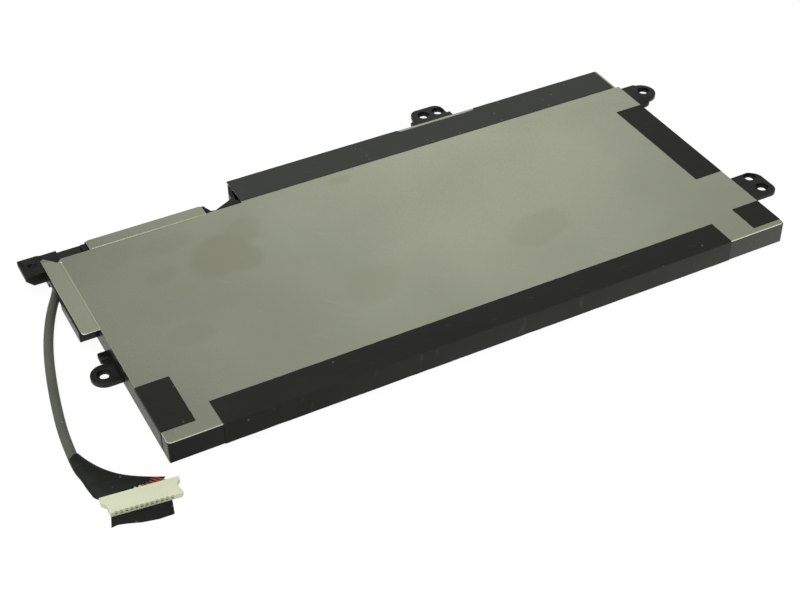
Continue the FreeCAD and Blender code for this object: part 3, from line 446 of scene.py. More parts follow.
class BATTERY_OT_camera(bpy.types.Operator):
    """Set the camera where the photograph was taken from"""
    bl_idname = "battery.camera"
    bl_label = "Camera"

    def execute(self, context):
        data = bpy.data.cameras.new("View")
        data.sensor_width = SENSOR
        data.lens = context.scene.battery_stage.lens
        data.clip_start = 0.01
        data.clip_end = 20.0
        camera = bpy.data.objects.new("View", data)
        context.scene.collection.objects.link(camera)
        ahead = CAMERA_AHEAD.normalized()
        up = CAMERA_RIGHT.cross(ahead).normalized()
        right = ahead.cross(up)
        turn = Matrix((right, up, -ahead)).transposed().to_4x4()
        camera.matrix_world = Matrix.Translation(at(*CAMERA_PLACE)) @ turn
        context.scene.camera = camera
        return {"FINISHED"}


FLOOR_HALF = 1.6
FLOOR_DROP = 0.00002
FLOOR_TONE = 0.95
FLOOR_GLOW = 0.9
FLOOR_WHITE = 1.04
# What a gloss mirrors: its tint, the floor's glow beside the battery, and ahead of it from left to right.
MIRRORED_TINT = (1.0, 1.015, 0.9)
SIDE_GLOW = 0.8
FRONT_GLOW = (0.42, 1.6)
WHITE = (1.0, 1.0, 1.0)
KEY_PLACE = (-0.35, 0.1, 1.1)
KEY_SIZE = 0.7


def seen_and_mirrored(tree):
    """Masks of the rays that the camera sees or that pass on clearly, and of those that a gloss mirrors."""
    path = tree.nodes.new("ShaderNodeLightPath")
    seen = math_of(tree, "MAXIMUM", path.outputs["Is Camera Ray"], path.outputs["Is Transmission Ray"])
    return seen, path.outputs["Is Glossy Ray"]


def floor_material():
    """Pale floor that shows white to the camera and keeps a soft shadow."""
    material = bpy.data.materials.new("pale_floor")
    material.use_nodes = True
    tree = material.node_tree
    tree.nodes.clear()
    seen, mirrored = seen_and_mirrored(tree)
    matt = node_of(tree, "ShaderNodeBsdfDiffuse", Color=(FLOOR_TONE, FLOOR_TONE, FLOOR_TONE))
    place = node_of(tree, "ShaderNodeSeparateXYZ", Vector=object_place(tree))
    start = at(0.0, 0.0)
    ahead = stretch(tree, place.outputs["X"], start.x, start.x + COVER_LENGTH, *FRONT_GLOW)
    in_front = math_of(tree, "LESS_THAN", place.outputs["Y"], start.y)
    mirrored_glow = mix_numbers(tree, in_front, SIDE_GLOW, ahead)
    bright = mix_numbers(tree, mirrored, FLOOR_WHITE, mirrored_glow)
    tint = blend_colours(tree, mirrored, WHITE, MIRRORED_TINT)
    glow = node_of(tree, "ShaderNodeEmission", Strength=bright, Color=tint)
    share = math_of(tree, "MAXIMUM", math_of(tree, "MULTIPLY", seen, FLOOR_GLOW), mirrored)
    mix = tree.nodes.new("ShaderNodeMixShader")
    for target, what in zip(mix.inputs, (share, matt.outputs["BSDF"], glow.outputs["Emission"])):
        feed(tree, target, what)
    node_of(tree, "ShaderNodeOutputMaterial", Surface=mix.outputs["Shader"])
    return material


# The mirrored backdrop: the direction of its bright spot, and pairs of the cosine of the angle to it and
# the brightness there.
SPOT = (0.4287, 0.7451, 0.5104)
BACKDROP = [(0.0, 0.85), (0.6, 0.6), (0.85, 0.3), (0.93, 0.27), (0.965, 0.36), (0.98, 0.5), (0.992, 0.74),
            (1.0, 0.95)]


def sky(strength):
    """Even white light; the camera sees plain white and a gloss mirrors a backdrop with a bright spot."""
    world = bpy.data.worlds.new("Sky")
    world.use_nodes = True
    tree = world.node_tree
    background = tree.nodes["Background"]
    seen, mirrored = seen_and_mirrored(tree)
    ahead = tree.nodes.new("ShaderNodeTexCoord").outputs["Generated"]
    toward = node_of(tree, "ShaderNodeVectorMath", Vector=ahead)
    toward.operation = "DOT_PRODUCT"
    toward.inputs[1].default_value = SPOT
    ramp = node_of(tree, "ShaderNodeValToRGB", Fac=toward.outputs["Value"])
    stops = ramp.color_ramp.elements
    while len(stops) < len(BACKDROP):
        stops.new(0.5)
    for stop, (height, bright) in zip(stops, BACKDROP):
        stop.position = height
        stop.color = (bright, bright, bright, 1.0)
    even = mix_numbers(tree, seen, strength, 1.0)
    feed(tree, background.inputs["Strength"], mix_numbers(tree, mirrored, even, ramp.outputs["Color"]))
    feed(tree, background.inputs["Color"], blend_colours(tree, mirrored, WHITE, MIRRORED_TINT))
    return world


def soft_lamp(name, place, target, size, power):
    """Square lamp that faces a point."""
    data = bpy.data.lights.new(name, "AREA")
    data.shape = "SQUARE"
    data.size = size
    data.energy = power
    lamp = bpy.data.objects.new(name, data)
    bpy.context.scene.collection.objects.link(lamp)
    lamp.location = place
    lamp.rotation_mode = "QUATERNION"
    lamp.rotation_quaternion = (Vector(target) - Vector(place)).to_track_quat("-Z", "Y")


class BATTERY_OT_stage(bpy.types.Operator):
    """Lay the pale floor and set the soft lights"""
    bl_idname = "battery.stage"
    bl_label = "Stage"

    def execute(self, context):
        look = context.scene.battery_stage
        sides = ((-1, -1), (1, -1), (1, 1), (-1, 1))
        corners = [(x * FLOOR_HALF, y * FLOOR_HALF, -FLOOR_DROP) for x, y in sides]
        mesh = mesh_from("pale_floor", corners, [(0, 1, 2, 3)])
        floor = bpy.data.objects.new("pale_floor", mesh)
        context.scene.collection.objects.link(floor)
        floor.data.materials.append(floor_material())
        context.scene.world = sky(look.sky)
        soft_lamp("Key", KEY_PLACE, (0.0, 0.0, 0.0), KEY_SIZE, look.key)
        context.scene.view_settings.view_transform = "Standard"
        return {"FINISHED"}


# Metal cover.

# Finger marks on the cover: middle, half width, half depth, turn and strength of each.
SMUDGES = [
    ((0.0430, 0.0660), 0.0120, 0.0105, 0.5, 0.7),
    ((0.0465, 0.0625), 0.0085, 0.0080, 0.0, 0.6),
    ((0.0530, 0.0735), 0.0085, 0.0060, 0.9, 0.4),
    ((0.0300, 0.0790), 0.0105, 0.0052, 0.1, 0.35),
    ((0.0232, 0.0650), 0.0062, 0.0040, 0.2, 0.45),
    ((0.0150, 0.0800), 0.0070, 0.0045, 0.9, 0.35),
    ((0.0210, 0.0370), 0.0070, 0.0055, 0.0, 0.35),
    ((0.0270, 0.0560), 0.0040, 0.0030, 0.3, 0.25),
    ((0.0900, 0.0840), 0.0045, 0.0028, 0.0, 0.35),
    ((0.1320, 0.0330), 0.0130, 0.0080, 0.3, 0.3),
    ((0.0760, 0.0330), 0.0110, 0.0090, 0.6, 0.25),
]


def smudge_mask(tree, place, middle, wide, deep, turn):
    """Soft-edged mark of an uneven oval outline."""
    centre = at(*middle, COVER_TOP)
    mapping = node_of(tree, "ShaderNodeMapping", Vector=place)
    mapping.vector_type = "TEXTURE"
    mapping.inputs["Location"].default_value = centre
    mapping.inputs["Rotation"].default_value = (0.0, 0.0, turn)
    mapping.inputs["Scale"].default_value = (wide, deep, 1.0)
    ball = node_of(tree, "ShaderNodeTexGradient", Vector=mapping.outputs["Vector"])
    ball.gradient_type = "SPHERICAL"
    return stretch(tree, ball.outputs["Fac"], 0.0, 0.28, 0.0, 1.0)


# Painted highlights: bright lines along folds and rims, and the left flap painted paler as if it caught more
# light: low and high x, low and high y, strength.
PAINTED_HIGHLIGHTS = [
    (-0.00012, 0.00012, 0.0512, 0.0864, 0.65),
    (0.0097, 0.0466, 0.08715, 0.08745, 0.3),
    (0.05855, 0.0588, 0.0880, 0.0997, 0.7),
    (0.0008, 0.1970, -0.0002, 0.00018, 0.5),
    (-0.0002, 0.00018, 0.0010, 0.0047, 0.4),
    (-0.0112, -0.0003, 0.0500, 0.0875, 0.28),
]
LINE_SOFT = 0.0001


def line_mask(tree, parts, low_x, high_x, low_y, high_y):
    """Straight band, soft at its sides."""
    mask = None
    for axis, start, low, high in (("X", FOLD_X, low_x, high_x), ("Y", FRONT_Y, low_y, high_y)):
        from_middle = math_of(tree, "SUBTRACT", parts.outputs[axis], start + (low + high) / 2)
        away = math_of(tree, "ABSOLUTE", from_middle)
        half = (high - low) / 2
        side = stretch(tree, away, half, half + LINE_SOFT, 1.0, 0.0)
        mask = side if mask is None else math_of(tree, "MULTIPLY", mask, side)
    return mask


SMUDGE_STRAY = 0.006


def finger_marks(tree, place):
    """Mask of all the finger marks, their outlines strayed by a slow noise."""
    uneven = node_of(tree, "ShaderNodeTexNoise", Vector=place, Scale=120.0, Detail=3.0)
    shift = vector_of(tree, "MULTIPLY_ADD", uneven.outputs["Color"], (SMUDGE_STRAY, SMUDGE_STRAY, 0.0),
                      (-SMUDGE_STRAY / 2, -SMUDGE_STRAY / 2, 0.0))
    strayed = vector_of(tree, "ADD", place, shift)
    marks = None
    for middle, wide, deep, turn, strength in SMUDGES:
        mark = math_of(tree, "MULTIPLY", smudge_mask(tree, strayed, middle, wide, deep, turn), strength)
        marks = mark if marks is None else math_of(tree, "MAXIMUM", marks, mark)
    return marks


def cover_metal(look):
    """Satin sheet with finger marks, faint scuffs, fine grain, slow waves and painted highlights on its rims,
    folds and left flap.
    """
    material, tree, surface = shader("cover_metal", Metallic=1.0, Specular_IOR_Level=0.5)
    place = object_place(tree)
    marks = finger_marks(tree, place)
    grain = placed(tree, "grain", Scale=1500.0, Patch_scale=26.0)
    scuffs = placed(tree, "scuffs", Scale=90.0, Turn=0.9)
    metal = tuple(look.metal)
    tone = blend_colours(tree, stretch(tree, grain.outputs["Patches"], 0.35, 0.65, 0.0, 1.0),
                         tuple(level * 0.955 for level in metal), tuple(level * 1.045 for level in metal))
    tone = blend_colours(tree, math_of(tree, "MULTIPLY", scuffs.outputs["Lines"], 0.22), tone,
                         tuple(level * 1.25 for level in metal))
    tone = blend_colours(tree, marks, tone, tuple(look.smudge))
    parts = node_of(tree, "ShaderNodeSeparateXYZ", Vector=place)
    # Painted highlight: bright lines along the rims and folds and a paler left flap, mixed into the base
    # colour.
    for *band, strength in PAINTED_HIGHLIGHTS:
        bright = math_of(tree, "MULTIPLY", line_mask(tree, parts, *band), strength)
        tone = blend_colours(tree, bright, tone, tuple(look.painted_rim_highlight))
    tree.links.new(tone, surface.inputs["Base Color"])
    rough = stretch(tree, grain.outputs["Grain"], 0.3, 0.7, look.roughness - 0.03, look.roughness + 0.03)
    rough = math_of(tree, "ADD", rough, math_of(tree, "MULTIPLY", marks, 0.06))
    tree.links.new(rough, surface.inputs["Roughness"])
    waves = node_of(tree, "ShaderNodeTexNoise", Vector=place, Scale=22.0, Detail=1.0)
    height = math_of(tree, "ADD", math_of(tree, "MULTIPLY", waves.outputs["Fac"], 8.0 * look.waviness),
                    math_of(tree, "MULTIPLY", grain.outputs["Grain"], 0.004))
    relief(tree, surface, height, 0.4, 0.0002)
    return material


class BATTERY_OT_cover(bpy.types.Operator):
    """Finish the thin metal cover with rounded rims and finger marks"""
    bl_idname = "battery.cover"
    bl_label = "Metal cover"

    def execute(self, context):
        look = context.scene.battery_cover
        mesh = rounded(clean_copy("metal_cover", "cover_sheet"), look.rim, smooth=FOLD_ANGLE)
        piece_of("cover_sheet", mesh, cover_metal(look), "cover_metal", "metal_cover")
        return {"FINISHED"}


# Moulded frame and film.

# Low and high corners of two blocks that join the frame: the short raised step between the ledge and the
# back flap, and the web between the small tab and the left lug.
LEDGE_STEP = (0.00765, 0.0874, 0.0058), (0.0093, 0.0912, 0.00698)
TAB_WEB = (-0.0026, 0.0434, 0.0004), (0.0002, 0.0452, 0.0014)


def add_box(mesh, low, high):
    """Box added to a mesh."""
    shape = bmesh.new()
    shape.from_mesh(mesh)
    size = Matrix.Diagonal((*(high - low), 1.0))
    bmesh.ops.create_cube(shape, size=1.0, matrix=Matrix.Translation((low + high) / 2) @ size)
    shape.to_mesh(mesh)
    shape.free()


class BATTERY_OT_frame(bpy.types.Operator):
    """Finish the moulded frame with its lugs, rail and block"""
    bl_idname = "battery.frame"
    bl_label = "Moulded frame"

    def execute(self, context):
        look = context.scene.battery_frame
        plastic = grained("frame_plastic", tuple(look.plastic), look.roughness, scale=1400.0, bump=0.2,
                          dust=0.012, Specular_IOR_Level=0.3)
        mesh = clean_copy("frame", "moulded_frame")
        for low, high in (LEDGE_STEP, TAB_WEB):
            add_box(mesh, at(*low), at(*high))
        mesh = rounded(mesh, look.edge, plain_x=FOLD_X)
        piece_of("moulded_frame", mesh, plastic, "frame_plastic", "frame")
        dress_nodes({"bottom_film": grained("film_black", paint(30, 30, 29), 0.6, bump=0.3)})
        return {"FINISHED"}


def dress_nodes(materials):
    """Give CAD nodes that stay as they are their materials."""
    for node, material in materials.items():
        mesh = NODES[node].data
        if mesh.materials:
            mesh.materials[0] = material
        else:
            mesh.materials.append(material)


# Tapes.

ARC_STEPS = 5
TAPE = TAPE_TOP - COVER_TOP


def arc(centre, radius, start, end, steps=ARC_STEPS):
    """Points of an arc in a section, angles in degrees."""
    turns = [math.radians(start + (end - start) * k / steps) for k in range(steps + 1)]
    return [(centre[0] + radius * math.cos(a), centre[1] + radius * math.sin(a)) for a in turns]


def wrapped_section(reach, foot, bend, top, thick):
    """Section of a tape from its free edge on top, over an edge at 0 and down to its foot."""
    outer = [(reach, top), *arc((bend - thick, top - bend), bend, 90, 180), (-thick, foot)]
    inner = [(0.0, foot), *arc((bend - thick, top - bend), bend - thick, 180, 90), (reach, top - thick)]
    return outer, inner


def tape_material(name, colour, look, dust=0.02):
    """Smooth tape with a fine grain, light dust and pale scuffs."""
    material, tree, surface = shader(name, Specular_IOR_Level=0.22)
    grain = placed(tree, "grain", Scale=1600.0, Patch_scale=45.0)
    tone = blend_colours(tree, grain.outputs["Patches"], tuple(level * 0.8 for level in colour),
                         tuple(level * 1.2 for level in colour))
    specks = placed(tree, "dust", Scale=700.0, Amount=dust)
    dusty = math_of(tree, "MULTIPLY", specks.outputs["Specks"], 0.6)
    tone = blend_colours(tree, dusty, tone, paint(120, 120, 105))
    scuffs = placed(tree, "scuffs", Scale=140.0, Turn=0.25)
    scuffed = math_of(tree, "MULTIPLY", scuffs.outputs["Lines"], 0.12)
    tone = blend_colours(tree, scuffed, tone, paint(110, 110, 98))
    tree.links.new(tone, surface.inputs["Base Color"])
    rough = stretch(tree, grain.outputs["Patches"], 0.3, 0.7, look.roughness - 0.08, look.roughness + 0.08)
    tree.links.new(rough, surface.inputs["Roughness"])
    place = object_place(tree)
    ripples = node_of(tree, "ShaderNodeTexNoise", Vector=place, Scale=160.0, Detail=2.0)
    fine = math_of(tree, "MULTIPLY", grain.outputs["Grain"], 0.12)
    height = math_of(tree, "ADD", ripples.outputs["Fac"], fine)
    relief(tree, surface, height, 0.35, 0.0001)
    return material


TAPE_STEP = 0.0015
TAPE_LEAST_STEPS = 12


def wrapped_tape(name, node, look, along, edge, foot, reach, material):
    """Black tape that lies on the cover and wraps over one of its edges.

    along is the pair of ends, edge turns a distance along and across and a height into a place."""
    steps = max(TAPE_LEAST_STEPS, round((along[1] - along[0]) / TAPE_STEP))
    loops = []
    for k in range(steps + 1):
        run = along[0] + (along[1] - along[0]) * k / steps
        free = reach - abs(stray(Vector((run, 0.1, 0.7)), look.wobble * 2, 260.0))
        low = foot + abs(stray(Vector((run, 0.9, 0.2)), look.wobble * 2, 180.0))
        outer, inner = wrapped_section(free, low, look.bend, TAPE_TOP, TAPE)
        loop = []
        for across, height in outer + inner:
            end = (k == 0) - (k == steps)
            cut = end * abs(stray(Vector((across, height, along[0])), look.wobble * 1.5, 400.0))
            loop.append(edge(run + cut, across, height))
        loops.append(loop)
    piece_of(name, lofted(name, loops, SHARP_ANGLE), material, "tape_black", node)


# Ends of the tapes along their edges, how far they reach onto the cover and down its sides, and the back tape
# with its narrower stretch beside the back lug.
FRONT_TAPE = (0.0154, 0.1784)
CORNER_TAPE = (0.0048, 0.0239)
SHORT_TAPE = (0.0021, 0.0127)
LONG_TAPE = (0.0310, 0.07485)
FRONT_REACH = 0.0097
SIDE_REACH = 0.0097
SIDE_LAP = 0.0012
BACK_TAPE = (0.0586, 0.1960)
BACK_STEP = 0.001
BACK_FRONT_EDGE = 0.0883
BACK_REAR_EDGE = 0.0999
LUG_WINDOW = (0.1195, 0.1475)
LUG_WINDOW_DEEP = 0.0011


class BATTERY_OT_tapes(bpy.types.Operator):
    """Lay the black tapes over the edges and the grey tape along the back"""
    bl_idname = "battery.tapes"
    bl_label = "Tapes"

    def execute(self, context):
        look = context.scene.battery_tapes
        black = tape_material("tape_black", tuple(look.black), look)
        grey = tape_material("tape_grey", tuple(look.grey), look, 0.03)

        def over_front(run, across, height):
            return at(run, across, height)

        def over_left(run, across, height):
            return at(across, run, height)

        def over_right(run, across, height):
            return at(COVER_LENGTH - across, run, height)

        wrapped_tape("front_tape", "tape_front", look, FRONT_TAPE, over_front, FILM_TOP, FRONT_REACH, black)
        for name, node, along, edge in (("corner_tape", "tape_left_corner", CORNER_TAPE, over_left),
                                        ("short_tape", "tape_right_short", SHORT_TAPE, over_right),
                                        ("long_tape", "tape_right_long", LONG_TAPE, over_right)):
            wrapped_tape(name, node, look, along, edge, COVER_TOP - SIDE_LAP, SIDE_REACH, black)
        self.back_tape(look, grey)
        return {"FINISHED"}

    def back_tape(self, look, grey):
        """Flat tape along the band's back edge, narrower beside the back lug."""
        steps = round((BACK_TAPE[1] - BACK_TAPE[0]) / BACK_STEP)
        loops = []
        for k in range(steps + 1):
            run = BACK_TAPE[0] + (BACK_TAPE[1] - BACK_TAPE[0]) * k / steps
            front = BACK_FRONT_EDGE + stray(Vector((run, 0.3, 0.5)), look.wobble, 150.0)
            rear = BACK_REAR_EDGE - abs(stray(Vector((run, 0.6, 0.5)), look.wobble, 150.0))
            if LUG_WINDOW[0] < run < LUG_WINDOW[1]:
                rear -= LUG_WINDOW_DEEP
            corners = ((front, COVER_TOP), (rear, COVER_TOP), (rear, TAPE_TOP), (front, TAPE_TOP))
            loops.append([at(run, across, height) for across, height in corners])
        piece_of("back_tape", lofted("back_tape", loops, SHARP_ANGLE), grey, "tape_grey", "tape_back")


# Cable.

# The cable's route on the table, chosen from the photograph, from the frame's gate to the wrap.
SLEEVE_ROUTE = [(-0.0020, 0.0850), (-0.0037, 0.0802), (-0.0082, 0.0722), (-0.0126, 0.0614), (-0.0156, 0.0512),
                (-0.0181, 0.0402), (-0.0202, 0.0288), (-0.0214, 0.0196), (-0.02175, 0.0119)]
SLEEVE_HEIGHT = 0.00145


def nurbs_line(name, points):
    """Curve object of one smooth open spline with the points as its control points."""
    curve = bpy.data.curves.new(name, "CURVE")
    curve.dimensions = "3D"
    curve.resolution_u = 12
    spline = curve.splines.new("NURBS")
    spline.points.add(len(points) - 1)
    for place, point in zip(spline.points, points):
        place.co = (*point, 1.0)
    spline.order_u = 3
    spline.use_endpoint_u = True
    return curve


def route_points(curve):
    """Points along the smooth line of a curve that has no bevel."""
    holder = bpy.data.objects.new("line", curve)
    line = bpy.data.meshes.new_from_object(holder)
    points = [v.co.copy() for v in line.vertices]
    bpy.data.objects.remove(holder)
    bpy.data.meshes.remove(line)
    return points


class BATTERY_OT_sleeve(bpy.types.Operator):
    """Lay the cable in its braided sleeve along its route"""
    bl_idname = "battery.sleeve"
    bl_label = "Braided sleeve"

    def execute(self, context):
        look = context.scene.battery_cable
        points = [at(x, y, SLEEVE_HEIGHT) for x, y in SLEEVE_ROUTE]
        curve = nurbs_line("cable_core", points)
        line = route_points(curve)
        far_pieces = self.far_end(look, context.scene.battery_tapes)
        core = bpy.data.objects.new("cable_core", curve)
        context.scene.collection.objects.link(core)
        curve.bevel_depth = look.sleeve / 2 - 2 * look.weave
        curve.bevel_resolution = 4
        curve.use_fill_caps = True
        curve.materials.append(grained("sleeve_core", paint(40, 42, 36), 0.7))
        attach(core, BODY)
        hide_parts("cable_sleeve")
        yarn = grained("sleeve_yarn", tuple(look.braid), 0.6, contrast=0.3, scale=500.0, dust=0.03,
                       Specular_IOR_Level=0.3)
        piece_of("cable_braid", braid_mesh(look, line, yarn), yarn, "sleeve_black")
        return {"FINISHED"}

    def far_end(self, look, tapes):
        """Wrap, plug with its leads and the tape under it."""
        matt = tape_material("wrap_black", tuple(look.wrap), tapes, 0.01)
        cream = grained("housing_cream", tuple(look.housing), 0.45, contrast=0.05, bump=0.1)
        pieces = [piece_of("cable_wrapping", wrap_mesh(), matt, "wrap_black", "cable_wrap"),
                  piece_of("plug_housing", plug_mesh(), cream, "housing_cream", "connector_housing")]
        for colour, (numbers, tint, slot) in LEADS.items():
            jacket = grained("lead_" + colour, paint(*tint), 0.3, contrast=0.12)
            node = "connector_leads_" + colour
            pieces.append(piece_of("leads_" + colour, lead_mesh(numbers), jacket, slot, node))
        film = tape_material("tail_film", paint(17, 18, 14), tapes, 0.06)
        under = rounded(clean_copy("connector_tail_tape", "plug_tail_tape"), TAIL_EDGE)
        pieces.append(piece_of("plug_tail_tape", under, film, "tape_black", "connector_tail_tape"))
        return pieces


TAIL_EDGE = 0.00004
BRAID_POINTS = 520
UP = (0.0, 0.0, 1.0)


def braid_tree(look, material):
    """Node tree of yarns that wind both ways round a line, over and under each other."""
    tree = bpy.data.node_groups.new("Braid", "GeometryNodeTree")
    tree.interface.new_socket("Geometry", in_out="INPUT", socket_type="NodeSocketGeometry")
    settings = {
        "Yarns": ("NodeSocketInt", look.threads),
        "Radius": ("NodeSocketFloat", look.sleeve / 2 - look.weave),
        "Width": ("NodeSocketFloat", look.thread),
        "Thick": ("NodeSocketFloat", look.weave),
        "Turn": ("NodeSocketFloat", look.turn),
        "Points": ("NodeSocketInt", BRAID_POINTS),
        "Yarn": ("NodeSocketMaterial", material),
    }
    sockets = {label: tree.interface.new_socket(label, in_out="INPUT", socket_type=kind)
               for label, (kind, _) in settings.items()}
    tree.interface.new_socket("Geometry", in_out="OUTPUT", socket_type="NodeSocketGeometry")
    given = tree.nodes.new("NodeGroupInput").outputs
    line = node_of(tree, "GeometryNodeMeshToCurve", Mesh=given["Geometry"]).outputs["Curve"]
    even = node_of(tree, "GeometryNodeResampleCurve", Curve=line, Count=given["Points"]).outputs["Curve"]
    profile = node_of(tree, "GeometryNodeCurvePrimitiveQuadrilateral", Width=given["Thick"],
                      Height=given["Width"])
    joined = tree.nodes.new("GeometryNodeJoinGeometry")
    for way in (1, -1):
        tree.links.new(wound(tree, given, even, profile.outputs["Curve"], way), joined.inputs["Geometry"])
    real = node_of(tree, "GeometryNodeRealizeInstances", Geometry=joined.outputs["Geometry"])
    dressed = node_of(tree, "GeometryNodeSetMaterial", Geometry=real.outputs["Geometry"],
                      Material=given["Yarn"])
    node_of(tree, "NodeGroupOutput", Geometry=dressed.outputs["Geometry"])
    return tree, {sockets[label].identifier: setting for label, (_, setting) in settings.items()}


def wound(tree, given, line, profile, way):
    """One set of yarns, wound one way round the line."""
    copies = node_of(tree, "GeometryNodeDuplicateElements", Geometry=line, Amount=given["Yarns"])
    copies.domain = "SPLINE"
    run = tree.nodes.new("GeometryNodeSplineParameter").outputs["Length"]
    turns = math_of(tree, "DIVIDE", run, given["Turn"])
    place = math_of(tree, "DIVIDE", copies.outputs["Duplicate Index"], given["Yarns"])
    wound_place = math_of(tree, "ADD", place, math_of(tree, "MULTIPLY", turns, way))
    angle = math_of(tree, "MULTIPLY", wound_place, math.tau)
    crossings = math_of(tree, "MULTIPLY", math_of(tree, "MULTIPLY", turns, given["Yarns"]), math.tau)
    half_weave = math_of(tree, "MULTIPLY", given["Thick"], 0.5 * way)
    lift = math_of(tree, "MULTIPLY", math_of(tree, "COSINE", crossings), half_weave)
    reach = math_of(tree, "ADD", given["Radius"], lift)
    along = tree.nodes.new("GeometryNodeInputTangent").outputs["Tangent"]
    side = vector_of(tree, "CROSS_PRODUCT", along, UP)
    outward = vector_of(tree, "ADD", scaled(tree, side, math_of(tree, "COSINE", angle)),
                        scaled(tree, UP, math_of(tree, "SINE", angle)))
    kept = node_of(tree, "GeometryNodeStoreNamedAttribute", Geometry=copies.outputs["Geometry"],
                   Name="outward")
    kept.data_type = "FLOAT_VECTOR"
    feed(tree, next(socket for socket in kept.inputs if socket.name == "Value" and socket.enabled), outward)
    moved = node_of(tree, "GeometryNodeSetPosition", Geometry=kept.outputs["Geometry"],
                    Offset=scaled(tree, outward, reach))
    read = node_of(tree, "GeometryNodeInputNamedAttribute", Name="outward")
    read.data_type = "FLOAT_VECTOR"
    facing = node_of(tree, "GeometryNodeSetCurveNormal", Curve=moved.outputs["Geometry"])
    facing.mode = "FREE"
    feed(tree, facing.inputs["Normal"], next(socket for socket in read.outputs if socket.enabled))
    yarn = node_of(tree, "GeometryNodeCurveToMesh", Curve=facing.outputs["Curve"], Profile_Curve=profile)
    yarn.inputs["Fill Caps"].default_value = True
    return yarn.outputs["Mesh"]


def braid_mesh(look, line, material):
    """Mesh of the braid round the route's smooth line."""
    path = bpy.data.meshes.new("braid_line")
    path.from_pydata([tuple(p) for p in line], [(k, k + 1) for k in range(len(line) - 1)], [])
    holder = bpy.data.objects.new("braid_line", path)
    bpy.context.scene.collection.objects.link(holder)
    tree, settings = braid_tree(look, material)
    weaving = holder.modifiers.new("Braid", "NODES")
    weaving.node_group = tree
    for identifier, setting in settings.items():
        weaving[identifier] = setting
    return baked(holder, "cable_braid", ROUND_ANGLE)


# Sections of the wrap from the sleeve to the plug: left and right end, bulge ahead, height of the middle and
# half height.
WRAP_SECTIONS = [
    ((-0.02310, 0.0117), (-0.0200, 0.0128), 0.0, 0.00150, 0.00142),
    ((-0.02315, 0.0095), (-0.0191, 0.0103), 0.0, 0.00150, 0.00142),
    ((-0.0230, 0.0070), (-0.0178, 0.0076), 0.0, 0.00146, 0.00138),
    ((-0.0225, 0.0040), (-0.0162, 0.0050), 0.0002, 0.00140, 0.00132),
    ((-0.0222, 0.0010), (-0.0140, 0.0026), 0.0003, 0.00120, 0.00113),
    ((-0.0219, -0.0010), (-0.0112, 0.0002), 0.0003, 0.00110, 0.00103),
    ((-0.0216, -0.0026), (-0.0070, -0.0024), 0.0004, 0.00098, 0.00088),
    ((-0.0209, -0.0036), (-0.0030, -0.0044), 0.0006, 0.00088, 0.00074),
]
WRAP_ROWS = 44
WRAP_SIDES = 40
WRAP_FOLD = 0.00007
WRAP_SQUARE = 0.7
WRAP_LOWEST = 0.00006


def spline_between(values, share):
    """Smooth value at a share of a row of values."""
    place = share * (len(values) - 1)
    k = min(int(place), len(values) - 2)
    t = place - k
    a, b, c, d = (values[min(max(n, 0), len(values) - 1)] for n in (k - 1, k, k + 1, k + 2))
    return b + 0.5 * t * (c - a + t * (2 * a - 5 * b + 4 * c - d + t * (3 * (b - c) + d - a)))


def wrap_mesh():
    """Tape wrapped round the fan of leads, with long soft folds."""
    rows = [(*left, *right, bulge, height, half) for left, right, bulge, height, half in WRAP_SECTIONS]
    columns = list(zip(*rows))
    loops = []
    for row in range(WRAP_ROWS + 1):
        smooth_row = (spline_between(column, row / WRAP_ROWS) for column in columns)
        left_x, left_y, right_x, right_y, bulge, height, half = smooth_row
        loop = []
        for k in range(WRAP_SIDES):
            turn = math.tau * k / WRAP_SIDES
            across = math.cos(turn)
            lift = math.copysign(abs(math.sin(turn)) ** WRAP_SQUARE, math.sin(turn))
            share = (across + 1) / 2
            fold = WRAP_FOLD * noise.noise(Vector((share * 7.0, row * 0.09, 3.0 + (lift < 0))))
            ahead = bulge * (1 - across * across)
            place = at(left_x + (right_x - left_x) * share, left_y + (right_y - left_y) * share - ahead,
                       height + (half + fold) * lift)
            place.z = max(place.z, WRAP_LOWEST)
            loop.append(place)
        loops.append(loop)
    return lofted("cable_wrapping", loops, ROUND_ANGLE)


# The plug's place and turn on the table, and its contacts and notches measured from its back left corner.
PLUG_CORNER = (-0.02066, -0.00411)
PLUG_TURN = math.radians(-6.39)
PLUG_DEPTH = 0.00615
PLUG_TOP = 0.0017
CONTACTS = 12
CONTACT_FIRST = 0.00305
CONTACT_GAP = 0.0013
NOTCH_BACK = 0.00062
NOTCH_FRONT = 0.0002
NOTCH_HALF = 0.00036
NOTCH_DEEP = 0.0008
NOTCH_SUNK = 0.00002
PLUG_EDGE = 0.00006
# The leads of each colour: which contacts they serve, their colour and their slot.
LEADS = {
    "black": (range(0, 5), (28, 28, 26), "wire_black"),
    "signal": (range(5, 7), (214, 212, 160), "wire_yellow"),
    "red": (range(7, 12), (150, 50, 38), "wire_red"),
}


def by_plug(along, ahead, height):
    """Point measured from the plug's back left corner, along it and ahead of its back edge."""
    start = at(*PLUG_CORNER, height)
    turned = Matrix.Rotation(PLUG_TURN, 3, "Z") @ Vector((along, -ahead, 0.0))
    return start + turned


def plug_mesh():
    """Housing with softened edges; a bar in each notch leaves only a narrow slot at the front."""
    mesh = rounded(clean_copy("connector_housing", "plug_housing"), PLUG_EDGE)
    shape = bmesh.new()
    shape.from_mesh(mesh)
    turn = Matrix.Rotation(PLUG_TURN, 4, "Z")
    size = Matrix.Diagonal((2 * NOTCH_HALF, NOTCH_BACK - NOTCH_FRONT, NOTCH_DEEP - NOTCH_SUNK, 1.0))
    ahead = PLUG_DEPTH - (NOTCH_BACK + NOTCH_FRONT) / 2
    for number in range(CONTACTS):
        middle = by_plug(CONTACT_FIRST + CONTACT_GAP * number, ahead, PLUG_TOP - NOTCH_DEEP / 2)
        bmesh.ops.create_cube(shape, size=1.0, matrix=Matrix.Translation(middle) @ turn @ size)
    shape.to_mesh(mesh)
    shape.free()
    mesh.set_sharp_from_angle(angle=SMOOTH_ANGLE)
    return mesh


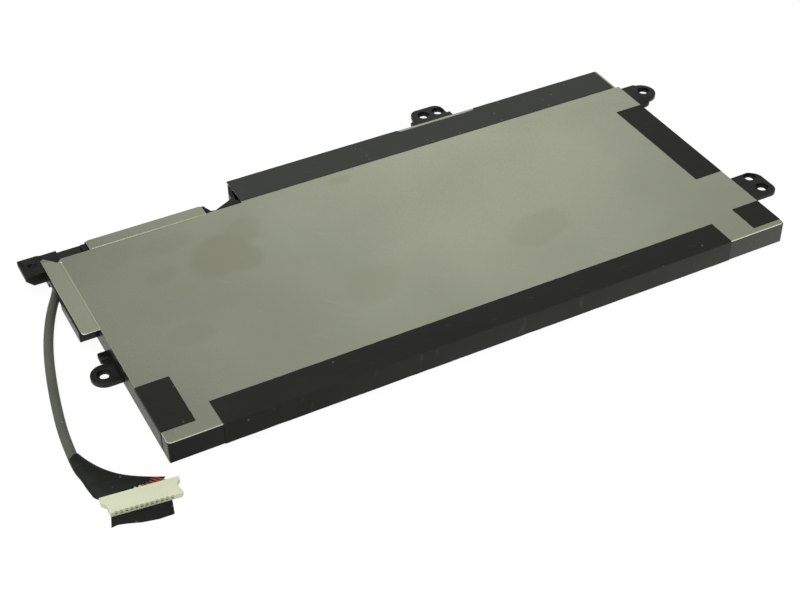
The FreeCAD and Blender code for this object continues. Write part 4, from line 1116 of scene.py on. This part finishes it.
LEAD = 0.0009
LEAD_SIDES = 10
LEAD_ROWS = 6
LEAD_BEHIND = 0.0024
LEAD_HEIGHTS = (0.00095, 0.001)
LEAD_ARCH = 0.00018
# How far the leads lean to the left: those under the wrap and the outer ones.
LEAN = 0.0006
OUTER_LEAN = 0.0028
FIRST_OUTER = 7


def lead_mesh(numbers):
    """Short leads from the housing's back edge, which lean together into the wrap."""
    joined = bmesh.new()
    turns = [math.tau * k / LEAD_SIDES for k in range(LEAD_SIDES)]
    ring = [Vector((math.cos(turn), 0.0, math.sin(turn))) * LEAD / 2 for turn in turns]
    for number in numbers:
        along = CONTACT_FIRST + CONTACT_GAP * number
        lean = OUTER_LEAN if number >= FIRST_OUTER else LEAN
        start = by_plug(along, 0.0, LEAD_HEIGHTS[0])
        end = by_plug(along - lean, -LEAD_BEHIND, LEAD_HEIGHTS[1])
        loops = []
        for row in range(LEAD_ROWS + 1):
            middle = start.lerp(end, row / LEAD_ROWS)
            middle.z += LEAD_ARCH * math.sin(math.pi * row / LEAD_ROWS)
            loops.append([middle + offset for offset in ring])
        single = lofted("lead", loops, ROUND_ANGLE)
        joined.from_mesh(single)
        bpy.data.meshes.remove(single)
    mesh = bpy.data.meshes.new("leads")
    joined.to_mesh(mesh)
    joined.free()
    mesh.shade_smooth()
    mesh.set_sharp_from_angle(angle=ROUND_ANGLE)
    return mesh


# Inner pieces.

class BATTERY_OT_inner(bpy.types.Operator):
    """Give the cells, strips, board and wires inside their finishes"""
    bl_idname = "battery.inner"
    bl_label = "Inner pieces"

    def execute(self, context):
        look = context.scene.battery_cable
        foil = grained("pouch_foil", paint(196, 198, 200), 0.32, contrast=0.06, scale=300.0, Metallic=1.0)
        nickel = grained("nickel", paint(190, 186, 178), 0.3, contrast=0.08, Metallic=1.0)
        aluminium = grained("aluminium_tab", paint(208, 208, 208), 0.35, contrast=0.06, Metallic=1.0)
        epoxy = grained("chip_black", paint(30, 30, 31), 0.55)
        materials = {
            "circuit_board": grained("board_laminate", paint(30, 84, 52), 0.35, contrast=0.15),
            "power_switches": epoxy, "gauge_chip": epoxy, "fuse": epoxy, "sense_resistor": epoxy,
            "capacitors": grained("capacitor_tan", paint(160, 132, 98), 0.5),
            "thermistor": grained("sensor_film", paint(176, 122, 50), 0.35),
            "inner_wires_red": grained("wire_red", tuple(look.red), 0.4),
            "inner_wires_black": grained("wire_black", paint(26, 26, 26), 0.4),
            "inner_wires_signal": grained("wire_yellow", tuple(look.yellow), 0.4),
        }
        for side in ("left", "middle", "right"):
            materials["cell_" + side] = foil
            materials["cell_pad_" + side] = grained("adhesive_" + side, paint(222, 222, 214), 0.7)
            materials["tab_positive_" + side] = aluminium
            materials["tab_negative_" + side] = nickel
        for node in ("pack_negative_link", "pack_positive_link", "link_left_middle", "link_middle_right"):
            materials[node] = nickel
        materials["connector_contacts"] = grained("contact_brass", paint(190, 170, 110), 0.3, Metallic=1.0)
        dress_nodes(materials)
        return {"FINISHED"}


STEPS = [BATTERY_OT_camera, BATTERY_OT_sleeve, BATTERY_OT_cover, BATTERY_OT_frame, BATTERY_OT_tapes,
         BATTERY_OT_inner, BATTERY_OT_stage]
LOOKS = {"battery_cover": CoverLook, "battery_frame": FrameLook, "battery_tapes": TapeLook,
         "battery_cable": CableLook, "battery_stage": StageLook}


class BATTERY_PT_panel(bpy.types.Panel):
    """Steps of the battery's finish"""
    bl_idname = "BATTERY_PT_panel"
    bl_label = "Laptop battery"
    bl_space_type = "VIEW_3D"
    bl_region_type = "UI"
    bl_category = "Battery"

    def draw(self, context):
        for step in STEPS:
            self.layout.operator(step.bl_idname)
        for name, look in LOOKS.items():
            box = self.layout.box()
            box.label(text=look.__doc__)
            for setting in look.__annotations__:
                box.prop(getattr(context.scene, name), setting)


def register():
    for kind in (*LOOKS.values(), *STEPS, BATTERY_PT_panel):
        bpy.utils.register_class(kind)
    for name, look in LOOKS.items():
        setattr(bpy.types.Scene, name, bpy.props.PointerProperty(type=look))


def unregister():
    for name in LOOKS:
        delattr(bpy.types.Scene, name)
    for kind in reversed((*LOOKS.values(), *STEPS, BATTERY_PT_panel)):
        bpy.utils.unregister_class(kind)


def main():
    register()
    for step in STEPS:
        group, name = step.bl_idname.split(".")
        getattr(getattr(bpy.ops, group), name)()


if __name__ == "__main__":
    main()
